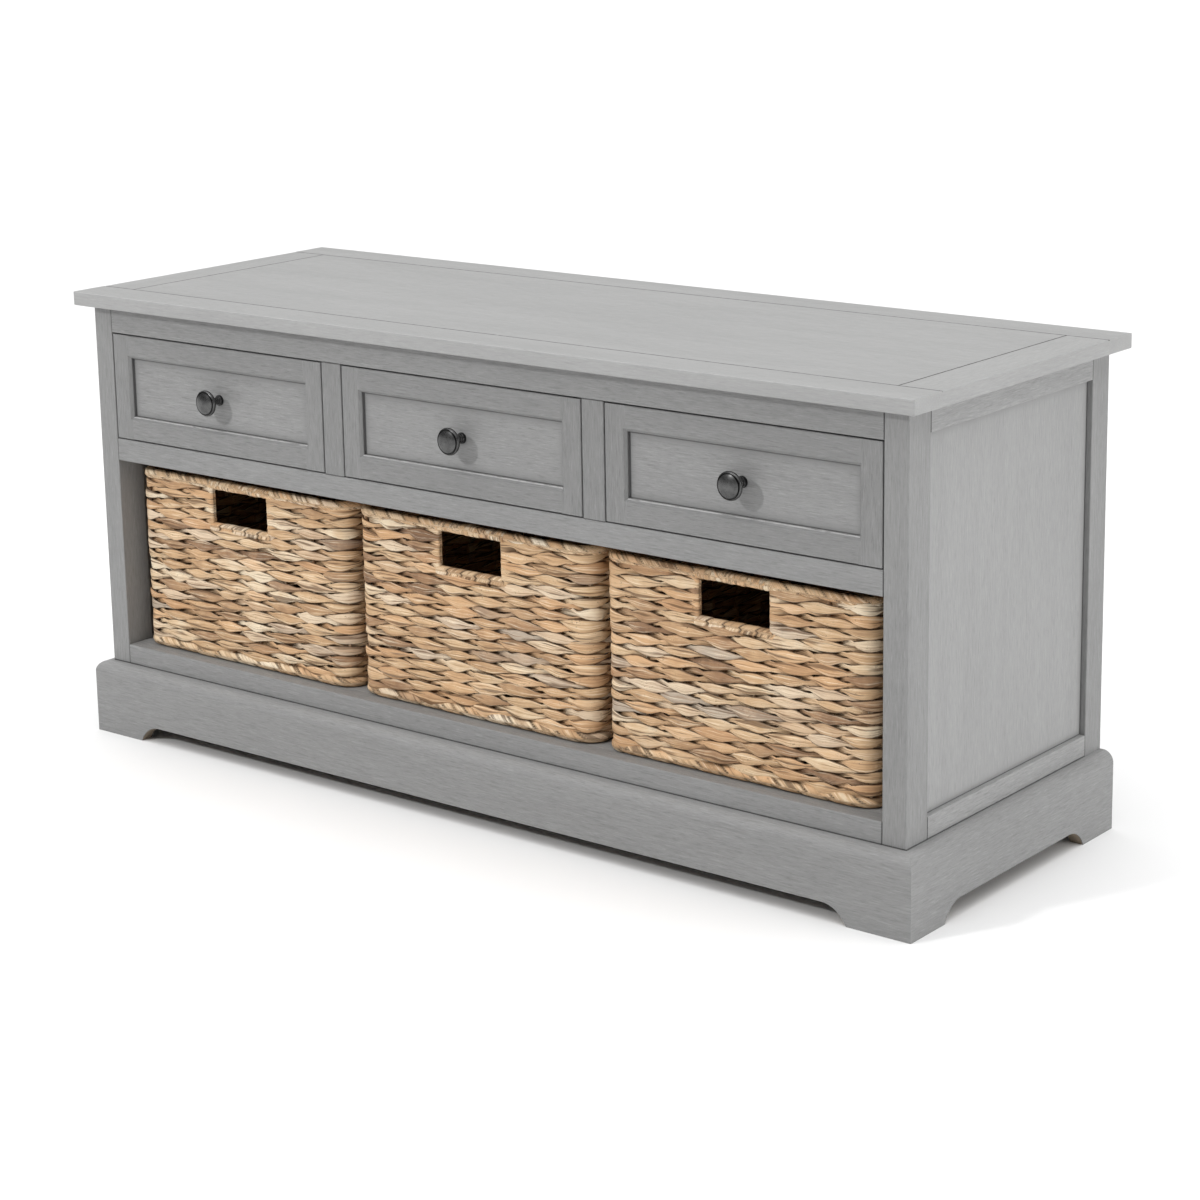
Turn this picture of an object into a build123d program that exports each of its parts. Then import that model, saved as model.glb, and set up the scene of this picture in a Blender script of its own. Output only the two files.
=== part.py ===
from build123d import *

import os

# Entryway storage bench: a painted timber carcass with three drawers above three woven baskets.
# Millimetres. +X is to the right of someone facing the bench, +Y goes from the front to the back, +Z is up,
# and the origin is on the floor under the middle of the top.

os.makedirs("parts", exist_ok=True)

# Overall sizes
TOP_WIDTH = 1078.0
TOP_DEPTH = 392.0
TOTAL_HEIGHT = 500.0

# Top: a centre panel inside four border boards
TOP_THICK = 15.0
TOP_BORDER = 46.0
TOP_ROUND = 1.5
SIDE_OVERHANG = 15.0
FRONT_OVERHANG = 16.0
BACK_OVERHANG = 17.0
TONGUE_LENGTH = 6.0
TONGUE_THICK = 5.0
GROOVE_STOP = 12.0
JOINT_EASE = 0.7

# Posts and rails
POST_WIDTH = 26.0
FRONT_POST_DEPTH = 35.5
BACK_POST_DEPTH = 31.5
FRONT_RAIL_THICK = 20.0
SIDE_RAIL_THICK = 18.0
BACK_RAIL_THICK = 18.0
MIDDLE_RAIL_THICK = 15.0
SIDE_TOP_RAIL_HEIGHT = 25.0
BASE_RAIL_HEIGHT = 43.0
LOWER_RAIL_HEIGHT = 24.5
UPPER_RAIL_HEIGHT = 28.5
DIVIDER_WIDTH = 26.5
EASE = 0.6
TENON_LENGTH = 15.0
TENON_THICK = 8.0
TENON_SHOULDER = 4.0
STUB_TENON = 10.0
FIT = 0.1
END_FIT = 0.5

# Shelf and openings
SHELF_TOP = 103.0
SHELF_THICK = 12.0
DRAWER_OPENING_HEIGHT = 118.0

# Side and back panels, held in grooves
PANEL_GROOVE = 6.0
SIDE_PANEL_THICK = 6.0
SIDE_PANEL_RECESS = 6.0
BACK_PANEL_THICK = 5.0
BACK_PANEL_RECESS = 6.5
PANEL_FIT = 0.2

# Battens inside the carcass
CLEAT = 15.0
TOP_CLEAT_HEIGHT = 20.0
RUNNER_LEDGE = 17.0
RUNNER_LEDGE_THICK = 22.0
RUNNER_GUIDE_HEIGHT = 22.0
KICKER_WIDTH = 30.0
KICKER_DROP = 12.5

# Screws that hold the top down
SCREW_RADIUS = 2.0
SCREW_HEAD_RADIUS = 4.0
SCREW_HEAD_THICK = 2.4
SCREW_BITE = 10.0
SCREW_SPACING = 160.0
SCREW_HOLE_FIT = 0.1
SCREW_HEAD_FIT = 0.4

# Plinth boards with bracket feet
PLINTH_THICK = 15.0
PLINTH_HEIGHT = 81.0
PLINTH_ROUND = 12.0
FRONT_FOOT = 70.0
SIDE_FOOT = 58.0
ARCH_HEIGHT = 18.5
ARCH_RUN = 28.0

# Drawers
DRAWER_GAP = 1.5
FRONT_THICK = 18.0
FRAME_WIDTH = 25.0
FRONT_BEVEL = 3.0
FRONT_RECESS = 6.0
PANEL_RABBET = 7.0
FRONT_TENON_LENGTH = 12.0
FRONT_TENON_THICK = 7.0
FRONT_TENON_SHOULDER = 3.0
BOX_SIDE_CLEARANCE = 6.0
GUIDE_CLEARANCE = 0.5
BOX_WALL = 12.0
BOX_HEADROOM = 5.7
BOX_BACK_SPACE = 10.0
RUNNER_CLEARANCE = 0.3
DADO_DEPTH = 4.0
DADO_TONGUE = 6.0
BOTTOM_THICK = 4.0
BOTTOM_RISE = 9.0
BOTTOM_GROOVE = 5.0

# Knobs
KNOB_RADIUS = 14.0
KNOB_PROJECTION = 25.0
KNOB_BASE_RADIUS = 5.8
KNOB_BASE_THICK = 1.2
KNOB_NECK_RADIUS = 3.9
KNOB_FOOT_RADIUS = 4.8
KNOB_BOSS_RADIUS = 6.4
KNOB_EDGE = 4.6
KNOB_STEP = 1.6
KNOB_DOME = 2.6
KNOB_GROOVE = 0.8
KNOB_GROOVE_DEPTH = 0.9
KNOB_HOLE_DEPTH = 11.0
KNOB_SCREW_RADIUS = 2.0
KNOB_SCREW_BITE = 9.0
KNOB_SCREW_HEAD_RADIUS = 4.4
KNOB_SCREW_HEAD_THICK = 2.6
KNOB_SCREW_HOLE_FIT = 0.3

# Baskets: woven walls over a wire frame
BASKET_GAP = 8.0
BASKET_SIDE_ROOM = 13.0
BASKET_SHIFT = -4.5
BASKET_SETBACK = 15.0
BASKET_BACK_ROOM = 24.5
BASKET_FLOOR_GAP = 0.3
BASKET_HEADROOM = 9.2
BASKET_CORNER = 25.0
BASKET_WALL = 9.0
BASKET_FLOOR = 8.0
BASKET_EDGE_ROUND = 3.0
HANDLE_WIDTH = 81.0
HANDLE_HEIGHT = 38.0
RIM_HEIGHT = 10.0
HOOP_WIRE = 4.0
UPRIGHT_WIRE = 3.0
SILL_WIRE = 2.4

# Places that follow from the sizes above
X_OUTER = TOP_WIDTH / 2 - SIDE_OVERHANG
X_INNER = X_OUTER - POST_WIDTH
Y_FRONT = -TOP_DEPTH / 2 + FRONT_OVERHANG
Y_BACK = TOP_DEPTH / 2 - BACK_OVERHANG
Z_TOP = TOTAL_HEIGHT - TOP_THICK
Z_OPENING_HIGH = Z_TOP - UPPER_RAIL_HEIGHT
Z_OPENING_LOW = Z_OPENING_HIGH - DRAWER_OPENING_HEIGHT
Z_BAY_TOP = Z_OPENING_LOW - LOWER_RAIL_HEIGHT
Y_RAIL_BACK = Y_FRONT + FRONT_RAIL_THICK
Y_BACK_RAIL = Y_BACK - BACK_RAIL_THICK
X_SIDE_RAIL = X_OUTER - SIDE_RAIL_THICK
OPENING_WIDTH = (2 * X_INNER - 2 * DIVIDER_WIDTH) / 3
OPENING_PITCH = OPENING_WIDTH + DIVIDER_WIDTH
SIDE_PANEL_X = X_OUTER - SIDE_PANEL_RECESS - SIDE_PANEL_THICK
BACK_PANEL_Y = Y_BACK - BACK_PANEL_RECESS - BACK_PANEL_THICK
MIDDLE_RAIL_Y = BACK_PANEL_Y - MIDDLE_RAIL_THICK
Y_SIDE_LOW = Y_FRONT + FRONT_POST_DEPTH
Y_SIDE_HIGH = Y_BACK - BACK_POST_DEPTH
SHELF_LOW = SHELF_TOP - SHELF_THICK
Z_SIDE_RAIL = Z_TOP - SIDE_TOP_RAIL_HEIGHT
Z_KICKER = Z_OPENING_HIGH - KICKER_DROP
Z_BOX = Z_OPENING_LOW + DRAWER_GAP + RUNNER_CLEARANCE
BOX_HEIGHT = Z_KICKER - BOX_HEADROOM - Z_BOX
SCREW_LENGTH = TOP_CLEAT_HEIGHT + SCREW_BITE
BASKET_WIDTH = (2 * X_INNER - 2 * BASKET_SIDE_ROOM - 2 * BASKET_GAP) / 3
BASKET_PITCH = BASKET_WIDTH + BASKET_GAP
BASKET_DEPTH = BACK_PANEL_Y - BASKET_BACK_ROOM - Y_FRONT - BASKET_SETBACK
BASKET_HEIGHT = Z_BAY_TOP - BASKET_HEADROOM - SHELF_TOP - BASKET_FLOOR_GAP
SIDES = {"left": -1, "right": 1}
PLACES = {"left": -1, "middle": 0, "right": 1}


def block(x, y, z, mode=Mode.ADD):
    """A box that fills the three given ranges."""
    ranges = [sorted(pair) for pair in (x, y, z)]
    middle = [(low + high) / 2 for low, high in ranges]
    with Locations(tuple(middle)):
        Box(*(high - low for low, high in ranges), mode=mode)


def grown(pair, amount):
    """A range with the same amount added at both ends."""
    low, high = sorted(pair)
    return (low - amount, high + amount)


def inset(pair, low, high):
    """A range cut back by its own amount at each end."""
    return (pair[0] + low, pair[1] - high)


def centred(middle, width):
    """A range of a given width about a middle."""
    return (middle - width / 2, middle + width / 2)


def save(built, name):
    """Labels a finished piece and writes its STEP file."""
    built.part.label = name
    export_step(built.part, f"parts/{name}.step")


# Rails that run along X between the posts: their section, and how far the tenon keeps from each edge.
# The shoulder towards a panel is wide enough to miss the panel's corner.
PANEL_SHOULDER = PANEL_GROOVE + 2.0
CROSS_RAILS = {
    "upper_front_rail": ((Y_FRONT, Y_RAIL_BACK), (Z_OPENING_HIGH, Z_TOP), TENON_SHOULDER, TENON_SHOULDER),
    "lower_front_rail": ((Y_FRONT, Y_RAIL_BACK), (Z_BAY_TOP, Z_OPENING_LOW), TENON_SHOULDER, TENON_SHOULDER),
    "base_front_rail": (
        (Y_FRONT, Y_RAIL_BACK),
        (SHELF_TOP - BASE_RAIL_HEIGHT, SHELF_TOP),
        TENON_SHOULDER,
        TENON_SHOULDER,
    ),
    "back_top_rail": ((Y_BACK_RAIL, Y_BACK), (Z_SIDE_RAIL, Z_TOP), PANEL_SHOULDER, TENON_SHOULDER),
    "back_middle_rail": (
        (MIDDLE_RAIL_Y, BACK_PANEL_Y),
        (Z_BAY_TOP, Z_OPENING_LOW),
        TENON_SHOULDER,
        TENON_SHOULDER,
    ),
    "back_bottom_rail": (
        (Y_BACK_RAIL, Y_BACK),
        (SHELF_TOP - BASE_RAIL_HEIGHT, SHELF_TOP),
        TENON_SHOULDER,
        PANEL_SHOULDER,
    ),
}
SIDE_RAILS = {
    "top": ((Z_SIDE_RAIL, Z_TOP), PANEL_SHOULDER, TENON_SHOULDER),
    "bottom": ((SHELF_TOP - BASE_RAIL_HEIGHT, SHELF_TOP), TENON_SHOULDER, PANEL_SHOULDER),
}


def cross_tenon(y, z, low, high):
    """The section of a cross rail's tenon."""
    return centred(sum(y) / 2, TENON_THICK), inset(z, low, high)


def side_tenon(z, low, high):
    """The section of a side rail's tenon, as ranges of its distance from the middle plane and of height."""
    return centred((X_SIDE_RAIL + X_OUTER) / 2, TENON_THICK), inset(z, low, high)


def post(name, side, y, inward):
    """A corner post. Side rails meet its back face where inward is +1, its front face where it is -1."""
    x = (side * X_INNER, side * X_OUTER)
    meeting = max(y) if inward > 0 else min(y)
    with BuildPart() as built:
        block(x, y, (0, Z_TOP))
        chamfer(built.edges().filter_by(Axis.Z), EASE)
        for rail_y, z, low, high in CROSS_RAILS.values():
            if min(y) <= min(rail_y) and max(rail_y) <= max(y):
                tenon_y, tenon_z = cross_tenon(rail_y, z, low, high)
                reach = side * (X_INNER + TENON_LENGTH + END_FIT)
                block((side * X_INNER, reach), grown(tenon_y, FIT), grown(tenon_z, FIT), Mode.SUBTRACT)
        for z, low, high in SIDE_RAILS.values():
            tenon_x, tenon_z = side_tenon(z, low, high)
            cut_x = tuple(side * value for value in grown(tenon_x, FIT))
            reach = meeting - inward * (TENON_LENGTH + END_FIT)
            block(cut_x, (meeting, reach), grown(tenon_z, FIT), Mode.SUBTRACT)
        panel_z = (SHELF_TOP - PANEL_GROOVE - PANEL_FIT, Z_SIDE_RAIL + PANEL_GROOVE + PANEL_FIT)
        groove_x = grown((SIDE_PANEL_X, SIDE_PANEL_X + SIDE_PANEL_THICK), PANEL_FIT)
        groove_end = meeting - inward * (PANEL_GROOVE + PANEL_FIT)
        block(tuple(side * value for value in groove_x), (meeting, groove_end), panel_z, Mode.SUBTRACT)
        if inward < 0:
            groove_y = grown((BACK_PANEL_Y, BACK_PANEL_Y + BACK_PANEL_THICK), PANEL_FIT)
            groove_reach = side * (X_INNER + PANEL_GROOVE + PANEL_FIT)
            block((side * X_INNER, groove_reach), groove_y, panel_z, Mode.SUBTRACT)
    save(built, name)


def make_posts():
    for word, side in SIDES.items():
        post(f"front_{word}_post", side, (Y_FRONT, Y_SIDE_LOW), 1)
        post(f"back_{word}_post", side, (Y_SIDE_HIGH, Y_BACK), -1)


def divider_places():
    """The middles of the two uprights between the drawers."""
    return (-OPENING_PITCH / 2, OPENING_PITCH / 2)


def make_cross_rails():
    for name, (y, z, low, high) in CROSS_RAILS.items():
        tenon_y, tenon_z = cross_tenon(y, z, low, high)
        with BuildPart() as built:
            block((-X_INNER, X_INNER), y, z)
            chamfer(built.edges().filter_by(Axis.X), EASE)
            block(grown((-X_INNER, X_INNER), TENON_LENGTH), tenon_y, tenon_z)
            for middle in divider_places():
                mortise_x = grown(centred(middle, DIVIDER_WIDTH - 2 * TENON_SHOULDER), FIT)
                mortise_y = grown(tenon_y, FIT)
                if name == "upper_front_rail":
                    mortise_z = (min(z), min(z) + STUB_TENON + END_FIT)
                    block(mortise_x, mortise_y, mortise_z, Mode.SUBTRACT)
                if name == "lower_front_rail":
                    mortise_z = (max(z) - STUB_TENON - END_FIT, max(z))
                    block(mortise_x, mortise_y, mortise_z, Mode.SUBTRACT)
            groove_y = grown((BACK_PANEL_Y, BACK_PANEL_Y + BACK_PANEL_THICK), PANEL_FIT)
            full_x = (-X_INNER, X_INNER)
            if name == "back_top_rail":
                block(full_x, groove_y, (min(z), min(z) + PANEL_GROOVE + PANEL_FIT), Mode.SUBTRACT)
            if name == "back_bottom_rail":
                block(full_x, groove_y, (max(z) - PANEL_GROOVE - PANEL_FIT, max(z)), Mode.SUBTRACT)
        save(built, name)


def make_side_frames():
    """The rails and the panel between the front and back post on each side."""
    groove_x = grown((SIDE_PANEL_X, SIDE_PANEL_X + SIDE_PANEL_THICK), PANEL_FIT)
    for word, side in SIDES.items():
        for level, (z, low, high) in SIDE_RAILS.items():
            tenon_x, tenon_z = side_tenon(z, low, high)
            groove_z = (min(z), min(z) + PANEL_GROOVE + PANEL_FIT)
            if level == "bottom":
                groove_z = (max(z) - PANEL_GROOVE - PANEL_FIT, max(z))
            with BuildPart() as built:
                block((side * X_SIDE_RAIL, side * X_OUTER), (Y_SIDE_LOW, Y_SIDE_HIGH), z)
                chamfer(built.edges().filter_by(Axis.Y), EASE)
                tenon_y = grown((Y_SIDE_LOW, Y_SIDE_HIGH), TENON_LENGTH)
                block(tuple(side * value for value in tenon_x), tenon_y, tenon_z)
                cut_x = tuple(side * value for value in groove_x)
                block(cut_x, (Y_SIDE_LOW, Y_SIDE_HIGH), groove_z, Mode.SUBTRACT)
            save(built, f"{word}_side_{level}_rail")
        with BuildPart() as panel:
            block(
                (side * SIDE_PANEL_X, side * (SIDE_PANEL_X + SIDE_PANEL_THICK)),
                grown((Y_SIDE_LOW, Y_SIDE_HIGH), PANEL_GROOVE),
                grown((SHELF_TOP, Z_SIDE_RAIL), PANEL_GROOVE),
            )
        save(panel, f"{word}_side_panel")


def make_back_panel():
    with BuildPart() as back_panel:
        block(
            grown((-X_INNER, X_INNER), PANEL_GROOVE),
            (BACK_PANEL_Y, BACK_PANEL_Y + BACK_PANEL_THICK),
            grown((SHELF_TOP, Z_SIDE_RAIL), PANEL_GROOVE),
        )
    save(back_panel, "back_panel")


def make_dividers():
    """The two uprights between the drawers, with stub tenons into the rails above and below."""
    y = (Y_FRONT, Y_RAIL_BACK)
    with BuildPart() as dividers:
        for middle in divider_places():
            block(centred(middle, DIVIDER_WIDTH), y, (Z_OPENING_LOW, Z_OPENING_HIGH))
        chamfer(dividers.edges().filter_by(Axis.Z), EASE)
        for middle in divider_places():
            tenon_x = centred(middle, DIVIDER_WIDTH - 2 * TENON_SHOULDER)
            tenon_z = grown((Z_OPENING_LOW, Z_OPENING_HIGH), STUB_TENON)
            block(tenon_x, centred(sum(y) / 2, TENON_THICK), tenon_z)
    save(dividers, "drawer_dividers")


def make_shelf():
    """The shelf under the baskets, notched round the posts."""
    x = X_SIDE_RAIL - END_FIT
    with BuildPart() as shelf:
        block((-x, x), (Y_RAIL_BACK, Y_BACK_RAIL), (SHELF_LOW, SHELF_TOP))
        for side in SIDES.values():
            notch_x = (side * (X_INNER - END_FIT), side * X_OUTER)
            block(notch_x, (Y_FRONT, Y_SIDE_LOW + END_FIT), (0, TOTAL_HEIGHT), Mode.SUBTRACT)
            block(notch_x, (Y_SIDE_HIGH - END_FIT, Y_BACK), (0, TOTAL_HEIGHT), Mode.SUBTRACT)
    save(shelf, "shelf")


def make_runners():
    """Hardwood runners: a ledge under each drawer side, with a guide standing beside it."""
    top = Z_OPENING_LOW + DRAWER_GAP
    ledge_z = (top - RUNNER_LEDGE_THICK, top)
    guide_z = (top, top + RUNNER_GUIDE_HEIGHT)
    y = (Y_RAIL_BACK, MIDDLE_RAIL_Y)
    reach = BOX_SIDE_CLEARANCE - GUIDE_CLEARANCE
    with BuildPart() as runners:
        for middle in divider_places():
            block(grown(centred(middle, DIVIDER_WIDTH), RUNNER_LEDGE), y, ledge_z)
            block(grown(centred(middle, DIVIDER_WIDTH), reach), y, guide_z)
        for side in SIDES.values():
            block((side * X_INNER, side * (X_INNER - RUNNER_LEDGE)), y, ledge_z)
            block((side * X_INNER, side * (X_INNER - reach)), y, guide_z)
    save(runners, "drawer_runners")


def screw_places():
    """Where the screws stand that hold the top: (x, y) of each."""
    y_middle = (Y_SIDE_LOW + Y_SIDE_HIGH) / 2
    cleat_x = X_SIDE_RAIL - CLEAT / 2
    columns = [-cleat_x, -OPENING_PITCH, 0, OPENING_PITCH, cleat_x]
    return [(x, y_middle + step) for x in columns for step in (-SCREW_SPACING / 2, SCREW_SPACING / 2)]


def top_screw_cuts(grow_shank, grow_head):
    """Cuts the screws' shanks, and a way in for their heads, out of the part being built."""
    head_z = Z_TOP - TOP_CLEAT_HEIGHT
    for x, y in screw_places():
        plane = Plane((x, y, head_z), x_dir=(1, 0, 0), z_dir=(0, 0, 1))
        with BuildSketch(plane) as shank:
            Circle(SCREW_RADIUS + grow_shank)
        extrude(shank.sketch, amount=SCREW_LENGTH + END_FIT, mode=Mode.SUBTRACT)
        with BuildSketch(plane) as head:
            Circle(SCREW_HEAD_RADIUS + grow_head)
        extrude(head.sketch, amount=Z_KICKER - head_z, mode=Mode.SUBTRACT)


def make_battens():
    """Cleats under the shelf and the top, kickers over the drawers, and the screws that hold the top."""
    shelf_z = (SHELF_LOW - CLEAT, SHELF_LOW)
    top_z = (Z_TOP - TOP_CLEAT_HEIGHT, Z_TOP)
    front_y, back_y = Y_RAIL_BACK + CLEAT, Y_BACK_RAIL - CLEAT
    between = inset((max(Y_SIDE_LOW, front_y), min(Y_SIDE_HIGH, back_y)), END_FIT, END_FIT)
    with BuildPart() as cleats:
        block((-X_INNER, X_INNER), (Y_RAIL_BACK, front_y), shelf_z)
        block((-X_INNER, X_INNER), (back_y, Y_BACK_RAIL), shelf_z)
        for side in SIDES.values():
            x = (side * X_SIDE_RAIL, side * (X_SIDE_RAIL - CLEAT))
            block(x, between, shelf_z)
            block(x, between, top_z)
        top_screw_cuts(SCREW_HOLE_FIT, SCREW_HEAD_FIT)
    save(cleats, "cleats")

    with BuildPart() as kickers:
        for step in PLACES.values():
            x = centred(step * OPENING_PITCH, KICKER_WIDTH)
            block(x, (Y_RAIL_BACK, Y_BACK_RAIL), (Z_KICKER, Z_TOP))
        top_screw_cuts(SCREW_HOLE_FIT, SCREW_HEAD_FIT)
    save(kickers, "drawer_kickers")

    head_z = Z_TOP - TOP_CLEAT_HEIGHT
    with BuildPart() as screws:
        for x, y in screw_places():
            plane = Plane((x, y, head_z), x_dir=(1, 0, 0), z_dir=(0, 0, 1))
            with BuildSketch(plane):
                Circle(SCREW_HEAD_RADIUS)
            extrude(amount=-SCREW_HEAD_THICK)
            with BuildSketch(plane):
                Circle(SCREW_RADIUS)
            extrude(amount=SCREW_LENGTH)
    save(screws, "top_screws")


def make_top():
    """Five boards, tongued and grooved, with a small V where their faces meet."""
    x_end, y_end = TOP_WIDTH / 2, TOP_DEPTH / 2
    x_in, y_in = x_end - TOP_BORDER, y_end - TOP_BORDER
    z = (Z_TOP, TOTAL_HEIGHT)
    tongue_z = centred(sum(z) / 2, TONGUE_THICK)
    groove_z = grown(tongue_z, FIT)
    groove = TONGUE_LENGTH + END_FIT

    for word, side in {"front": -1, "back": 1}.items():
        with BuildPart() as board:
            block((-x_end, x_end), (side * y_in, side * y_end), z)
            outer = board.edges().filter_by(Axis.X).group_by(Axis.Y)[0 if side < 0 else -1]
            ends = board.edges().filter_by(Axis.Y)
            corners = board.edges().filter_by(Axis.Z).group_by(Axis.Y)[0 if side < 0 else -1]
            inside = board.edges().filter_by(Axis.X).group_by(Axis.Y)[-1 if side < 0 else 0]
            chamfer(inside.sort_by(Axis.Z)[-1], JOINT_EASE)
            fillet(outer + ends + corners, TOP_ROUND)
            groove_x = inset((-x_end, x_end), GROOVE_STOP, GROOVE_STOP)
            block(groove_x, (side * y_in, side * (y_in + groove)), groove_z, Mode.SUBTRACT)
            if word == "front":
                top_screw_cuts(SCREW_HOLE_FIT, 0)
        save(board, f"top_{word}_board")

    with BuildPart() as side_boards:
        for side in SIDES.values():
            block((side * x_in, side * x_end), (-y_in, y_in), z)
        upper = side_boards.edges().group_by(Axis.Z)[-1]
        inner = upper.filter_by(Axis.Y).sort_by(Axis.X)[1:3]
        chamfer(inner + upper.filter_by(Axis.X), JOINT_EASE)
        outer = side_boards.edges().filter_by(Axis.Y).group_by(Axis.X)
        fillet(outer[0] + outer[-1], TOP_ROUND)
        for side in SIDES.values():
            tongue_x = inset((x_in, x_end), 0, GROOVE_STOP + END_FIT)
            tongue_y = grown((-y_in, y_in), TONGUE_LENGTH)
            block(tuple(side * value for value in tongue_x), tongue_y, tongue_z)
            groove_x = (side * x_in, side * (x_in + groove))
            block(groove_x, grown((-y_in, y_in), groove), groove_z, Mode.SUBTRACT)
        top_screw_cuts(SCREW_HOLE_FIT, 0)
    save(side_boards, "top_side_boards")

    with BuildPart() as panel:
        block((-x_in, x_in), (-y_in, y_in), z)
        chamfer(panel.edges().group_by(Axis.Z)[-1], JOINT_EASE)
        block(grown((-x_in, x_in), TONGUE_LENGTH), grown((-y_in, y_in), TONGUE_LENGTH), tongue_z)
        top_screw_cuts(SCREW_HOLE_FIT, 0)
    save(panel, "top_panel")


def plinth_board(length, foot, plane):
    """A plinth board with a rounded upper edge and an arch cut under it, leaving a foot at each end.

    The plane's origin is at the board's low end on the floor, its x runs along the board and its y is up,
    and its normal points out of the board's face.
    """
    radius = (ARCH_RUN**2 + ARCH_HEIGHT**2) / (2 * ARCH_HEIGHT)
    low, high = foot, length - foot
    crown_low, crown_high = (low + ARCH_RUN, ARCH_HEIGHT), (high - ARCH_RUN, ARCH_HEIGHT)
    with BuildSketch(plane) as outline:
        with BuildLine():
            Polyline((low, 0), (0, 0), (0, PLINTH_HEIGHT), (length, PLINTH_HEIGHT), (length, 0), (high, 0))
            RadiusArc((high, 0), crown_high, -radius)
            Line(crown_high, crown_low)
            RadiusArc(crown_low, (low, 0), -radius)
        make_face()
    extrude(outline.sketch, amount=-PLINTH_THICK)


def mitre_cut(side, waste_corner):
    """Cuts the part being built along the mitre at a front corner of the plinth.

    The waste is the triangle between the mitre, drawn a little past the corner, and waste_corner.
    """
    inside = (side * X_OUTER, Y_FRONT)
    outside = (side * (X_OUTER + 2 * PLINTH_THICK), Y_FRONT - 2 * PLINTH_THICK)
    with BuildSketch(Plane.XY) as waste:
        with BuildLine():
            Polyline(outside, inside, waste_corner, close=True)
        make_face()
    extrude(waste.sketch, amount=TOTAL_HEIGHT, mode=Mode.SUBTRACT)


def make_plinth():
    """The three boards round the foot of the carcass, mitred at the front corners."""
    x_end = X_OUTER + PLINTH_THICK
    y_end = Y_FRONT - PLINTH_THICK
    with BuildPart() as front:
        plinth_board(2 * x_end, FRONT_FOOT, Plane((-x_end, y_end, 0), x_dir=(1, 0, 0), z_dir=(0, -1, 0)))
        upper = front.edges().filter_by(Axis.X).group_by(Axis.Z)[-1].sort_by(Axis.Y)[0]
        fillet(upper, PLINTH_ROUND)
        for side in SIDES.values():
            mitre_cut(side, (side * (X_OUTER + 2 * PLINTH_THICK), Y_FRONT))
    save(front, "plinth_front")

    planes = {
        "left": Plane((-x_end, Y_BACK, 0), x_dir=(0, -1, 0), z_dir=(-1, 0, 0)),
        "right": Plane((x_end, y_end, 0), x_dir=(0, 1, 0), z_dir=(1, 0, 0)),
    }
    for word, side in SIDES.items():
        with BuildPart() as board:
            plinth_board(Y_BACK - y_end, SIDE_FOOT, planes[word])
            upper = board.edges().filter_by(Axis.Y).group_by(Axis.Z)[-1].sort_by(Axis.X)
            fillet(upper[-1 if side > 0 else 0], PLINTH_ROUND)
            mitre_cut(side, (side * X_OUTER, Y_FRONT - 2 * PLINTH_THICK))
        save(board, f"plinth_{word}")


def bevel_cut(x, z):
    """Takes the sloping edge round a drawer front's recess out of the part being built."""
    middle = ((x[0] + x[1]) / 2, Y_FRONT, (z[0] + z[1]) / 2)
    with BuildSketch(Plane(middle, x_dir=(1, 0, 0), z_dir=(0, 1, 0))) as mouth:
        Rectangle(x[1] - x[0] + 2 * FRONT_BEVEL, z[1] - z[0] + 2 * FRONT_BEVEL)
    extrude(mouth.sketch, amount=FRONT_BEVEL, taper=45, mode=Mode.SUBTRACT)


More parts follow.
